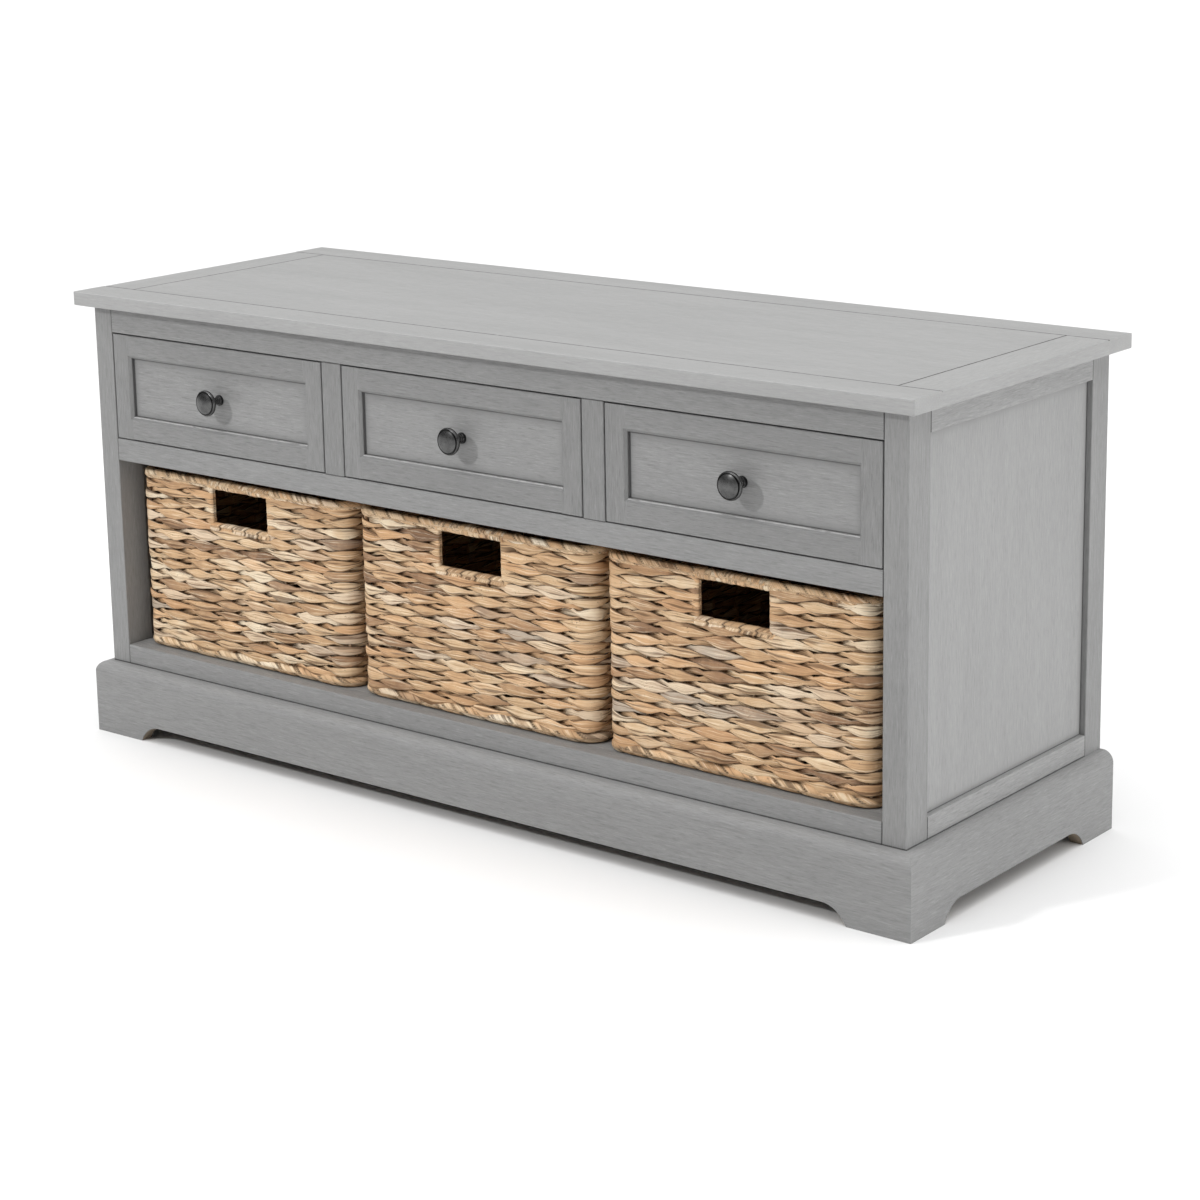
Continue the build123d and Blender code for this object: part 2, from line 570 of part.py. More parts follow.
def make_drawer_front(place, middle):
    """A framed front: two stiles, two rails tenoned between them, and a panel let in from behind."""
    x = centred(middle, OPENING_WIDTH - 2 * DRAWER_GAP)
    z = inset((Z_OPENING_LOW, Z_OPENING_HIGH), DRAWER_GAP, DRAWER_GAP)
    y = (Y_FRONT, Y_FRONT + FRONT_THICK)
    field_x = inset(x, FRAME_WIDTH, FRAME_WIDTH)
    field_z = inset(z, FRAME_WIDTH, FRAME_WIDTH)
    rabbet_x = grown(field_x, PANEL_RABBET)
    rabbet_z = grown(field_z, PANEL_RABBET)
    panel_y = (Y_FRONT + FRONT_RECESS, max(y))
    tenon_y = centred(sum(y) / 2, FRONT_TENON_THICK)
    tenon_height = FRAME_WIDTH - PANEL_RABBET - FRONT_TENON_SHOULDER - PANEL_FIT
    low_tenon = (z[0] + FRONT_TENON_SHOULDER, z[0] + FRONT_TENON_SHOULDER + tenon_height)
    high_tenon = (z[1] - FRONT_TENON_SHOULDER - tenon_height, z[1] - FRONT_TENON_SHOULDER)

    with BuildPart() as stiles:
        for stile_x in ((x[0], field_x[0]), (field_x[1], x[1])):
            block(stile_x, y, z)
        outer = stiles.edges().filter_by(Axis.Z).group_by(Axis.Y)[0].sort_by(Axis.X)
        chamfer([outer[0], outer[-1]], EASE)
        block(rabbet_x, panel_y, grown(rabbet_z, FIT), Mode.SUBTRACT)
        mortise_x = grown(field_x, FRONT_TENON_LENGTH + END_FIT)
        for tenon_z in (low_tenon, high_tenon):
            block(mortise_x, grown(tenon_y, FIT), grown(tenon_z, FIT), Mode.SUBTRACT)
        bevel_cut(field_x, field_z)
    save(stiles, f"drawer_{place}_stiles")

    with BuildPart() as rails:
        for rail_z in ((z[0], field_z[0]), (field_z[1], z[1])):
            block(field_x, y, rail_z)
        outer = rails.edges().filter_by(Axis.X).group_by(Axis.Y)[0].sort_by(Axis.Z)
        chamfer([outer[0], outer[-1]], EASE)
        block(field_x, panel_y, rabbet_z, Mode.SUBTRACT)
        for tenon_z in (low_tenon, high_tenon):
            block(grown(field_x, FRONT_TENON_LENGTH), tenon_y, tenon_z)
        bevel_cut(field_x, field_z)
    save(rails, f"drawer_{place}_rails")

    with BuildPart() as panel:
        block(inset(rabbet_x, FIT, FIT), panel_y, inset(rabbet_z, FIT, FIT))
        with BuildSketch(Plane((middle, max(y), sum(z) / 2), x_dir=(1, 0, 0), z_dir=(0, -1, 0))):
            Circle(KNOB_SCREW_RADIUS + KNOB_SCREW_HOLE_FIT)
        extrude(amount=FRONT_THICK, mode=Mode.SUBTRACT)
    save(panel, f"drawer_{place}_panel")


def make_drawer_box(place, middle):
    """The box behind the front: dadoed ends between two sides, over a bottom held in grooves."""
    x = centred(middle, OPENING_WIDTH - 2 * BOX_SIDE_CLEARANCE)
    y = (Y_FRONT + FRONT_THICK, MIDDLE_RAIL_Y - BOX_BACK_SPACE)
    z = (Z_BOX, Z_BOX + BOX_HEIGHT)
    inner_x = inset(x, BOX_WALL, BOX_WALL)
    bottom_z = (Z_BOX + BOTTOM_RISE, Z_BOX + BOTTOM_RISE + BOTTOM_THICK)
    groove_z = grown(bottom_z, FIT)
    inner_y = inset(y, BOX_WALL, BOX_WALL)
    # Each end carries a tongue on its inner half, so that the wall outside the dado is not left thin.
    ends = {
        "front": ((y[0], inner_y[0]), (inner_y[0] - DADO_TONGUE, inner_y[0])),
        "back": ((inner_y[1], y[1]), (inner_y[1], inner_y[1] + DADO_TONGUE)),
    }

    with BuildPart() as sides:
        for side_x in ((x[0], inner_x[0]), (inner_x[1], x[1])):
            block(side_x, y, z)
        for _, tongue_y in ends.values():
            block(grown(inner_x, DADO_DEPTH + FIT), grown(tongue_y, FIT), z, Mode.SUBTRACT)
        groove_y = grown(inner_y, BOTTOM_GROOVE)
        block(grown(inner_x, BOTTOM_GROOVE + FIT), grown(groove_y, FIT), groove_z, Mode.SUBTRACT)
    save(sides, f"drawer_{place}_box_sides")

    with BuildPart() as box_ends:
        for end_y, tongue_y in ends.values():
            block(inner_x, end_y, z)
            block(grown(inner_x, DADO_DEPTH), tongue_y, z)
        block(grown(inner_x, BOX_WALL), grown(inner_y, BOTTOM_GROOVE + FIT), groove_z, Mode.SUBTRACT)
        hole_z = (Z_OPENING_LOW + Z_OPENING_HIGH) / 2
        with BuildSketch(Plane((middle, y[0], hole_z), x_dir=(1, 0, 0), z_dir=(0, 1, 0))):
            Circle(KNOB_SCREW_RADIUS + KNOB_SCREW_HOLE_FIT)
        extrude(amount=BOX_WALL, mode=Mode.SUBTRACT)
    save(box_ends, f"drawer_{place}_box_ends")

    with BuildPart() as bottom:
        block(grown(inner_x, BOTTOM_GROOVE), grown(inner_y, BOTTOM_GROOVE), bottom_z)
    save(bottom, f"drawer_{place}_bottom")


def make_knob(place, middle):
    """A turned metal knob on the middle of the drawer's panel, and the machine screw that holds it."""
    z = (Z_OPENING_LOW + Z_OPENING_HIGH) / 2
    seat = Y_FRONT + FRONT_RECESS
    head_back = KNOB_PROJECTION - KNOB_DOME - KNOB_EDGE
    neck_back = KNOB_BASE_THICK
    neck_middle = (neck_back + head_back) / 2
    head_front = KNOB_PROJECTION - KNOB_DOME
    rim_middle = (head_back + head_front) / 2
    dome_radius = KNOB_RADIUS - KNOB_STEP
    dome_curve = (dome_radius**2 + KNOB_DOME**2) / (2 * KNOB_DOME)
    neck = ((KNOB_FOOT_RADIUS, neck_back), (KNOB_NECK_RADIUS, neck_middle), (KNOB_BOSS_RADIUS, head_back))
    rim = ((dome_radius, head_back), (KNOB_RADIUS, rim_middle), (dome_radius, head_front))
    plane = Plane((middle, seat, z), x_dir=(1, 0, 0), z_dir=(0, 0, -1))
    with BuildPart() as knob:
        with BuildSketch(plane):
            with BuildLine():
                Polyline((0, KNOB_PROJECTION), (0, 0), (KNOB_BASE_RADIUS, 0), (KNOB_BASE_RADIUS, neck_back))
                Line((KNOB_BASE_RADIUS, neck_back), neck[0])
                ThreePointArc(*neck)
                Line(neck[-1], rim[0])
                ThreePointArc(*rim)
                RadiusArc(rim[-1], (0, KNOB_PROJECTION), -dome_curve)
            make_face()
        revolve(axis=Axis((middle, seat, z), (0, 1, 0)))
        with BuildSketch(Plane((middle, seat, z), x_dir=(1, 0, 0), z_dir=(0, -1, 0))):
            Circle(KNOB_SCREW_RADIUS + FIT)
        extrude(amount=KNOB_HOLE_DEPTH, mode=Mode.SUBTRACT)
        groove_floor = seat - head_front + KNOB_GROOVE_DEPTH
        with BuildSketch(Plane((middle, groove_floor, z), x_dir=(1, 0, 0), z_dir=(0, -1, 0))):
            Circle(dome_radius)
            Circle(dome_radius - KNOB_GROOVE, mode=Mode.SUBTRACT)
        extrude(amount=KNOB_GROOVE_DEPTH + KNOB_DOME, mode=Mode.SUBTRACT)
    save(knob, f"drawer_{place}_knob")

    head_y = Y_FRONT + FRONT_THICK + BOX_WALL
    plane = Plane((middle, head_y, z), x_dir=(1, 0, 0), z_dir=(0, -1, 0))
    with BuildPart() as screw:
        with BuildSketch(plane):
            Circle(KNOB_SCREW_RADIUS)
        extrude(amount=head_y - seat + KNOB_SCREW_BITE)
        with BuildSketch(plane):
            Circle(KNOB_SCREW_HEAD_RADIUS)
        extrude(amount=-KNOB_SCREW_HEAD_THICK)
        chamfer(screw.edges().group_by(Axis.Y)[-1], KNOB_SCREW_HEAD_THICK / 3)
    save(screw, f"drawer_{place}_knob_screw")


def make_drawers():
    for place, step in PLACES.items():
        middle = step * OPENING_PITCH
        make_drawer_front(place, middle)
        make_drawer_box(place, middle)
        make_knob(place, middle)


def wire_hoop(centre, z, inward):
    """A closed hoop of flat wire that follows the basket's wall."""
    outer, inner = inward - HOOP_WIRE / 2, inward + HOOP_WIRE / 2
    with BuildSketch(Plane((*centre, z), x_dir=(1, 0, 0), z_dir=(0, 0, 1))) as hoop:
        RectangleRounded(BASKET_WIDTH - 2 * outer, BASKET_DEPTH - 2 * outer, BASKET_CORNER - outer)
        RectangleRounded(
            BASKET_WIDTH - 2 * inner, BASKET_DEPTH - 2 * inner, BASKET_CORNER - inner, mode=Mode.SUBTRACT
        )
    extrude(hoop.sketch, amount=HOOP_WIRE / 2, both=True)


def upright_wire(x, y, z):
    """A straight piece of wire standing between two heights."""
    with BuildSketch(Plane((x, y, z[0]), x_dir=(1, 0, 0), z_dir=(0, 0, 1))) as wire:
        Circle(UPRIGHT_WIRE / 2)
    extrude(wire.sketch, amount=z[1] - z[0])


def make_baskets():
    """Open baskets with a hand hole in the front and back walls, woven round a wire frame."""
    z = (SHELF_TOP + BASKET_FLOOR_GAP, SHELF_TOP + BASKET_FLOOR_GAP + BASKET_HEIGHT)
    y_middle = Y_FRONT + BASKET_SETBACK + BASKET_DEPTH / 2
    wire_inward = BASKET_WALL / 2
    hoop_low, hoop_high = z[0] + RIM_HEIGHT / 2, z[1] - RIM_HEIGHT / 2
    hole_z = (z[1] - RIM_HEIGHT - HANDLE_HEIGHT, z[1] - RIM_HEIGHT)
    sill_z = hole_z[0] - RIM_HEIGHT / 2
    diagonal = (BASKET_CORNER - wire_inward) * (1 - 2**-0.5)
    for place, step in PLACES.items():
        centre = (step * BASKET_PITCH + BASKET_SHIFT, y_middle)
        jamb = HANDLE_WIDTH / 2 + RIM_HEIGHT / 2
        corner_x = BASKET_WIDTH / 2 - wire_inward - diagonal
        corner_y = BASKET_DEPTH / 2 - wire_inward - diagonal
        wall_y = BASKET_DEPTH / 2 - wire_inward
        with BuildPart() as frame:
            wire_hoop(centre, hoop_low, wire_inward)
            wire_hoop(centre, hoop_high, wire_inward)
            for side_y in (-1, 1):
                jamb_y = centre[1] + side_y * wall_y
                for side_x in (-1, 1):
                    place_x, place_y = centre[0] + side_x * corner_x, centre[1] + side_y * corner_y
                    upright_wire(place_x, place_y, (hoop_low, hoop_high))
                    upright_wire(centre[0] + side_x * jamb, jamb_y, (sill_z - HOOP_WIRE / 2, hoop_high))
                block(centred(centre[0], 2 * jamb), centred(jamb_y, SILL_WIRE), centred(sill_z, SILL_WIRE))
        save(frame, f"basket_{place}_wire_frame")

        inner_width, inner_depth = BASKET_WIDTH - 2 * BASKET_WALL, BASKET_DEPTH - 2 * BASKET_WALL
        hole_y = grown(centred(centre[1], BASKET_DEPTH), BASKET_WALL)
        with BuildPart() as weave:
            with BuildSketch(Plane((*centre, z[0]), x_dir=(1, 0, 0), z_dir=(0, 0, 1))):
                RectangleRounded(BASKET_WIDTH, BASKET_DEPTH, BASKET_CORNER)
            extrude(amount=BASKET_HEIGHT)
            fillet(weave.edges().group_by(Axis.Z)[0], BASKET_EDGE_ROUND)
            with BuildSketch(Plane((*centre, z[0] + BASKET_FLOOR), x_dir=(1, 0, 0), z_dir=(0, 0, 1))):
                RectangleRounded(inner_width, inner_depth, BASKET_CORNER - BASKET_WALL)
            extrude(amount=BASKET_HEIGHT, mode=Mode.SUBTRACT)
            fillet(weave.edges().group_by(Axis.Z)[-1], BASKET_EDGE_ROUND)
            block(centred(centre[0], HANDLE_WIDTH), hole_y, hole_z, Mode.SUBTRACT)
            add(frame.part, mode=Mode.SUBTRACT)
        save(weave, f"basket_{place}_weave")


make_posts()
make_cross_rails()
make_side_frames()
make_back_panel()
make_dividers()
make_shelf()
make_runners()
make_battens()
make_top()
make_plinth()
make_drawers()
make_baskets()
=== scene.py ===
import math

import bpy
import numpy as np
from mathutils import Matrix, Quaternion, Vector


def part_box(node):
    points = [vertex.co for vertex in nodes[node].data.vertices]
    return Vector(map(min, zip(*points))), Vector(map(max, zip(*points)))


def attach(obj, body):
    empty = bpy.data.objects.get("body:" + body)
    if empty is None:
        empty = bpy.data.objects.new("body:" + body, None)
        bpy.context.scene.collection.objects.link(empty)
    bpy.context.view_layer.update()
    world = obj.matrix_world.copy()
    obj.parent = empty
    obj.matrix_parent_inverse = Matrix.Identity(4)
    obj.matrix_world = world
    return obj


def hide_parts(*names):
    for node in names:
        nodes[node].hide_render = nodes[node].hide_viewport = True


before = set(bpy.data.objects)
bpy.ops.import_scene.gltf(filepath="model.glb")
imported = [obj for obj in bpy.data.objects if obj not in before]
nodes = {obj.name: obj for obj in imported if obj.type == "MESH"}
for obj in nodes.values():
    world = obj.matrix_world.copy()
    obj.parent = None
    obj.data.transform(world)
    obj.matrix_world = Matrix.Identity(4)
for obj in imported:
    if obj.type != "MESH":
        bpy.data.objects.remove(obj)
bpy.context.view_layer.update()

X, Y, Z = 0, 1, 2
PLACES = ("left", "middle", "right")

# Places in the CAD that the materials follow, in metres. A lip is the part of a panel that its frame
# hides, a tongue the part of the top that its border boards hide, and a face the painted front layer.
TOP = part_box("top_panel")[1].z
TOP_TONGUE = 0.006
DRAWER_FACE = 0.0024
DRAWER_LIP = 0.007
SIDE_LIP = 0.006
THICKEST_PANEL = 0.03
PLINTH_THICK = 0.015
PLINTH_FACE = 0.0008
ARCH_TOP = 0.0190
KNOB_HEAD_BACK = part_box("drawer_left_knob")[0].y + 0.0072
KNOB_RING = 0.0120
NECK_RING_PITCH = 0.0026

# Grey levels of the paint: plain coat, dark and light streaks, glaze and painted shade, painted highlight
PAINT = 0.312
PAINT_DARK = 0.222
PAINT_LIGHT = 0.415
PAINT_GLAZE_AND_SHADE = 0.055
PAINT_HIGHLIGHT = 0.62

# Light and dark tones of the bare materials
CUT_BOARD = ((0.36, 0.28, 0.19), (0.24, 0.19, 0.14))
DRAWER_WOOD = ((0.60, 0.45, 0.29), (0.48, 0.33, 0.19))
BATTEN_WOOD = ((0.50, 0.35, 0.21), (0.38, 0.25, 0.14))
PEWTER = ((0.070, 0.070, 0.070), (0.105, 0.105, 0.104))
# Painted shade in the knob's grooves, round its face and between the rings of its neck
PEWTER_NECK_GROOVE_SHADE = (0.02, 0.02, 0.02)
PEWTER_FACE_GROOVE_SHADE = (0.008, 0.008, 0.008)
STEEL = ((0.50, 0.50, 0.49), (0.62, 0.62, 0.60))
WIRE = ((0.42, 0.29, 0.18), (0.54, 0.39, 0.25))
FLOOR = ((0.79, 0.79, 0.79), (0.81, 0.81, 0.81))

# Tones of the dried leaf, from the darkest strand to the palest, what marks it, and the painted shade at
# strands' edges
LEAF = [
    (0.00, (0.197, 0.112, 0.064)),
    (0.14, (0.336, 0.200, 0.112)),
    (0.30, (0.466, 0.288, 0.156)),
    (0.46, (0.566, 0.364, 0.200)),
    (0.62, (0.624, 0.428, 0.250)),
    (0.80, (0.691, 0.511, 0.324)),
    (1.00, (0.787, 0.656, 0.479)),
]
LEAF_RUSTY = (0.68, 0.395, 0.200)
LEAF_PALE = (0.86, 0.78, 0.64)
LEAF_DARK_FIBRE = (0.31, 0.175, 0.090)
LEAF_LIGHT_FIBRE = (0.95, 0.83, 0.62)
LEAF_FOLD = (0.13, 0.070, 0.035)
LEAF_SPECK = (0.11, 0.055, 0.025)
# Painted shade along the strands' edges
LEAF_EDGE_SHADE = (0.045, 0.022, 0.010)

# Sizes of the woven baskets, in metres. The insets run from the outline of the CAD basket: WALL_INSET to
# the middle of the wall. STRAND_SPAN is the strand coordinate at a strand's edge. EDGE_ROUND, EDGE_SHIFT
# and END_FADE say how a strand turns back at a hand hole.
WALL_INSET = 0.0052
CORNER = 0.025
ROPE = 0.0052
ROPE_INSET = 0.0002
STAKE_RADIUS = 0.0016
STAKE_TINT = 0.15
STRAND_SPAN = 0.006
STRAND_THICK = 0.0015
WEAVE_SWING = 0.0031
HOLE_WIDTH = 0.081
HOLE_HEIGHT = 0.038
HOLE_DROP = 0.010
HOLE_JAMB = 0.003
EDGE_ROUND = 0.0030
EDGE_SHIFT = 0.0022
END_FADE = 0.016
MAT_INSET = 0.009
MAT_HEIGHT = 0.0045

# How many strands and stakes there are, and how finely they are built
STAKES = 28
STEPS = 9
ROWS = 32
MAT_STRIPS = 24
STRAND_SIDES = 12
THIN_SIDES = 8
ROPE_SIDES = 16
RING_STEP = 0.0022
STRAIGHT_STEP = 0.0011
EDGE_TURN = np.linspace(0.0, math.pi, 7)[1:]
STRIP_SHADES = 997

# Wrapped ropes: radius, pitch of the strips, turns of a strip's edge round the core, depth of the grooves
RIM_WRAP = (ROPE, 0.021, 1.6, 0.26)
FOOT_WRAP = (ROPE, 0.030, 1.4, 0.26)
HOLE_TOP_WRAP = (0.0056, 0.0068, 0.9, 0.30)
HOLE_SILL_WRAP = (0.0050, 0.019, 1.2, 0.26)

# The photo's view: lens in millimetres, angles in degrees
LENS = 85.61
SENSOR = 36.0
SHIFT_UP = -0.1
CAMERA_PLACE = (1.8274, -2.2479, 0.9888)
AZIMUTH, ELEVATION, ROLL = 38.568, 12.978, -0.982

# The studio: half the floor's width, and the sky's strength at the horizon and overhead
FLOOR_REACH = 60.0
SKY_LOW, SKY_HIGH = 0.02, 3.35


# ---------------------------------------------------------------- materials
class Graph:
    """A small helper that adds and links the nodes of one material."""

    def __init__(self, name):
        self.material = bpy.data.materials.new(name)
        self.material.use_nodes = True
        self.tree = self.material.node_tree
        self.tree.nodes.clear()
        output = self.tree.nodes.new("ShaderNodeOutputMaterial")
        self.shader = self.tree.nodes.new("ShaderNodeBsdfPrincipled")
        self.tree.links.new(self.shader.outputs[0], output.inputs["Surface"])

    def put(self, socket, value):
        if isinstance(value, bpy.types.NodeSocket):
            self.tree.links.new(value, socket)
        elif value is not None:
            socket.default_value = value

    def add(self, kind, inputs=(), **settings):
        node = self.tree.nodes.new(kind)
        for key, value in settings.items():
            setattr(node, key, value)
        for key, value in dict(inputs).items():
            self.put(node.inputs[key], value)
        return node

    def place(self):
        return self.add("ShaderNodeTexCoord").outputs["Object"]

    def split(self, vector):
        return self.add("ShaderNodeSeparateXYZ", {0: vector}).outputs

    def math(self, operation, a, b=0.0):
        return self.add("ShaderNodeMath", {0: a, 1: b}, operation=operation).outputs[0]

    def vector(self, operation, a, b):
        return self.add("ShaderNodeVectorMath", {0: a, 1: b}, operation=operation).outputs[0]

    def noise(self, vector, scale, detail=3.0, roughness=0.55, distortion=0.0):
        inputs = {
            "Vector": vector,
            "Scale": scale,
            "Detail": detail,
            "Roughness": roughness,
            "Distortion": distortion,
        }
        return self.add("ShaderNodeTexNoise", inputs).outputs[0]

    def span(self, value, low, high, to_low=0.0, to_high=1.0):
        inputs = {0: value, 1: low, 2: high, 3: to_low, 4: to_high}
        return self.add("ShaderNodeMapRange", inputs).outputs[0]

    def mix(self, factor, a, b):
        """a where factor is 0 and b where it is 1. Each is a socket or a colour of three levels."""
        node = self.add("ShaderNodeMix", {0: factor}, data_type="RGBA", blend_type="MIX")
        for number, colour in ((6, a), (7, b)):
            self.put(node.inputs[number], (*colour, 1.0) if isinstance(colour, tuple) else colour)
        return node.outputs[2]

    def ramp(self, value, stops):
        node = self.add("ShaderNodeValToRGB", {0: value})
        elements = node.color_ramp.elements
        while len(elements) < len(stops):
            elements.new(0.5)
        for element, (place, colour) in zip(elements, stops):
            element.position = place
            element.color = (*colour, 1.0)
        return node.outputs[0]

    def bump(self, height, strength, distance):
        inputs = {"Height": height, "Strength": strength, "Distance": distance}
        return self.add("ShaderNodeBump", inputs).outputs[0]

    def finish(self, colour, roughness, normal=None, metallic=0.0, specular=0.5):
        self.put(self.shader.inputs["Base Color"], colour)
        self.put(self.shader.inputs["Roughness"], roughness)
        self.put(self.shader.inputs["Metallic"], metallic)
        self.put(self.shader.inputs["Specular IOR Level"], specular)
        self.put(self.shader.inputs["Normal"], normal)
        return self.material


def stretched(graph, axis, along, across, offset):
    """Coordinates squeezed along one axis, so that noise read with them runs in streaks along it."""
    moved = graph.vector("ADD", graph.place(), offset)
    scale = [across] * 3
    scale[axis] = along
    return graph.vector("MULTIPLY", moved, tuple(scale))


def grey(value):
    return (value, value, value * 0.992)


def glaze_and_shade_field(graph, colour, parts, field, streak, dark):
    """Glaze and painted shade: darker paint towards the edges of a framed panel's open part, given by two
    corners, where the recess is in shade.
    """
    low, high = field
    near = 1.0
    for axis in (X, Y, Z):
        if high[axis] - low[axis] > THICKEST_PANEL:
            from_low = graph.math("SUBTRACT", parts[axis], low[axis])
            from_high = graph.math("SUBTRACT", high[axis], parts[axis])
            # The band along the lower edge is narrower: less painted shade where the light reaches the
            # lower rail.
            if axis == Z:
                from_low = graph.math("ADD", from_low, 0.0007)
            near = graph.math("MINIMUM", near, graph.math("MINIMUM", from_low, from_high))
    wobble = graph.math("MULTIPLY", graph.math("SUBTRACT", streak, 0.5), 0.022)
    uneven = graph.math("ADD", near, wobble)
    colour = graph.mix(graph.span(uneven, 0.0, 0.008, 0.55, 0.0), colour, dark)
    return graph.mix(graph.span(near, 0.0008, 0.0019, 0.80, 0.0), colour, grey(PAINT_GLAZE_AND_SHADE))


def glaze_seam(graph, colour, parts, seam, fine, on_top):
    """A dark line where glaze has settled in a joint. seam is (axis, place)."""
    axis, where = seam
    off = graph.math("ABSOLUTE", graph.math("SUBTRACT", parts[axis], where))
    off = graph.math("ADD", off, graph.span(fine, 0.3, 0.7, -0.0003, 0.0003))
    line = graph.span(off, 0.0006, 0.0011, 0.90, 0.0)
    if on_top:
        line = graph.math("MULTIPLY", line, graph.span(parts[Z], TOP - 0.0012, TOP - 0.0004))
    return graph.mix(line, colour, grey(PAINT_GLAZE_AND_SHADE))


def painted_highlight_edge(graph, colour, parts, height, scuff):
    """A painted highlight: lighter paint along an edge at one height, where the light catches it."""
    edge = graph.math("ABSOLUTE", graph.math("SUBTRACT", parts[Z], height))
    highlight_mask = graph.span(edge, 0.0004, 0.0012, 0.85, 0.0)
    highlight_mask = graph.math("MULTIPLY", highlight_mask, graph.span(scuff, 0.3, 0.5))
    return graph.mix(highlight_mask, colour, grey(PAINT_HIGHLIGHT))


def painted_gap_shade(graph, colour, parts, slot):
    """Painted shade on a drawer front's edges, between two depths, so the gaps round the drawers read dark.
    """
    front, back = slot
    shade_mask = graph.span(parts[Y], front, front + 0.001, 0.0, 0.6)
    shade_mask = graph.math("MULTIPLY", shade_mask, graph.span(parts[Y], back - 0.0006, back - 0.0003, 1.0, 0.0))
    return graph.mix(shade_mask, colour, grey(PAINT_GLAZE_AND_SHADE))


def bare_cut(graph, colour, parts, cut, scuff, fine):
    """Bare board that the paint has missed, between low and high on an axis, below top and before back."""
    axis, low, high, top, back = cut
    inside = graph.span(parts[axis], low, low + 0.0006)
    for next_axis, start, end in (
        (axis, high, high - 0.0006),
        (Z, top, top - 0.0006),
        (Y, back - 0.0006, back - 0.0012),
    ):
        inside = graph.math("MULTIPLY", inside, graph.span(parts[next_axis], start, end))
    inside = graph.math("MULTIPLY", inside, graph.span(scuff, 0.30, 0.55, 0.55, 0.95))
    return graph.mix(inside, colour, graph.mix(graph.span(fine, 0.35, 0.65), *CUT_BOARD))


def painted(name, offset):
    """Brushed light-grey paint over fine grain that runs along one axis of the board."""
    graph = Graph(f"paint_{name}")
    axis = grain_of(name)
    tone, brush = lit_tone_of(name)
    parts = graph.split(graph.place())
    broad = graph.noise(stretched(graph, axis, 4.0, 34.0, offset), 1.0, 3.0)
    streak = graph.noise(stretched(graph, axis, 62.0, 820.0, offset), 1.0, 4.0, 0.70, 0.4)
    fine = graph.noise(stretched(graph, axis, 130.0, 1500.0, offset), 1.0, 3.0, 0.6)
    scuff = graph.noise(stretched(graph, axis, 90.0, 1000.0, offset), 1.0, 2.0, 0.5)
    # The board's grey is scaled by its painted light and shade.
    base, dark, light = grey(PAINT * tone), grey(PAINT_DARK * tone), grey(PAINT_LIGHT * tone)
    colour = graph.mix(graph.span(broad, 0.35, 0.65, 0.0, 0.26), base, dark)
    for mark, start, end, amount, shade in (
        (streak, 0.52, 0.70, 0.80, dark),
        (streak, 0.46, 0.30, 0.50, light),
        (scuff, 0.66, 0.80, 0.40, light),
        (fine, 0.55, 0.74, 0.60, dark),
    ):
        colour = graph.mix(graph.span(mark, start, end, 0.0, min(1.0, amount * brush)), colour, shade)
    field, height, slot, cut = field_of(name), lit_edge_height_of(name), slot_of(name), bare_cut_of(name)
    # Glaze and painted shade in a framed panel's recess.
    if field:
        colour = glaze_and_shade_field(graph, colour, parts, field, streak, dark)
    for seam in seams_of(name):
        colour = glaze_seam(graph, colour, parts, seam, fine, name.startswith("top_"))
    # Painted highlight along the lower rail's inner edge.
    if height is not None:
        colour = painted_highlight_edge(graph, colour, parts, height, scuff)
    # Painted shade in the gaps round the drawers.
    if slot:
        colour = painted_gap_shade(graph, colour, parts, slot)
    if cut:
        colour = bare_cut(graph, colour, parts, cut, scuff, fine)
    relief = graph.math("ADD", graph.math("MULTIPLY", streak, 0.8), graph.math("MULTIPLY", fine, 0.5))
    normal = graph.bump(relief, min(1.0, 0.55 * brush), 0.0005)
    return graph.finish(colour, graph.span(streak, 0.3, 0.7, 0.46, 0.60), normal, 0.0, 0.40)


def bare_wood(name, axis, tones):
    """Plain sanded timber for the parts that the paint leaves bare."""
    graph = Graph(name)
    light, dark = tones
    rings = graph.noise(stretched(graph, axis, 3.0, 60.0, (0.3, 1.1, 0.7)), 1.0, 4.0, 0.6, 0.4)
    pores = graph.noise(stretched(graph, axis, 25.0, 900.0, (0.1, 0.2, 0.5)), 1.0, 3.0)
    colour = graph.mix(graph.span(rings, 0.35, 0.68), light, dark)
    pore_tone = tuple(level * 0.6 for level in dark)
    colour = graph.mix(graph.span(pores, 0.55, 0.75, 0.0, 0.4), colour, pore_tone)
    normal = graph.bump(pores, 0.2, 0.0005)
    return graph.finish(colour, graph.span(pores, 0.3, 0.7, 0.5, 0.66), normal, 0.0, 0.4)


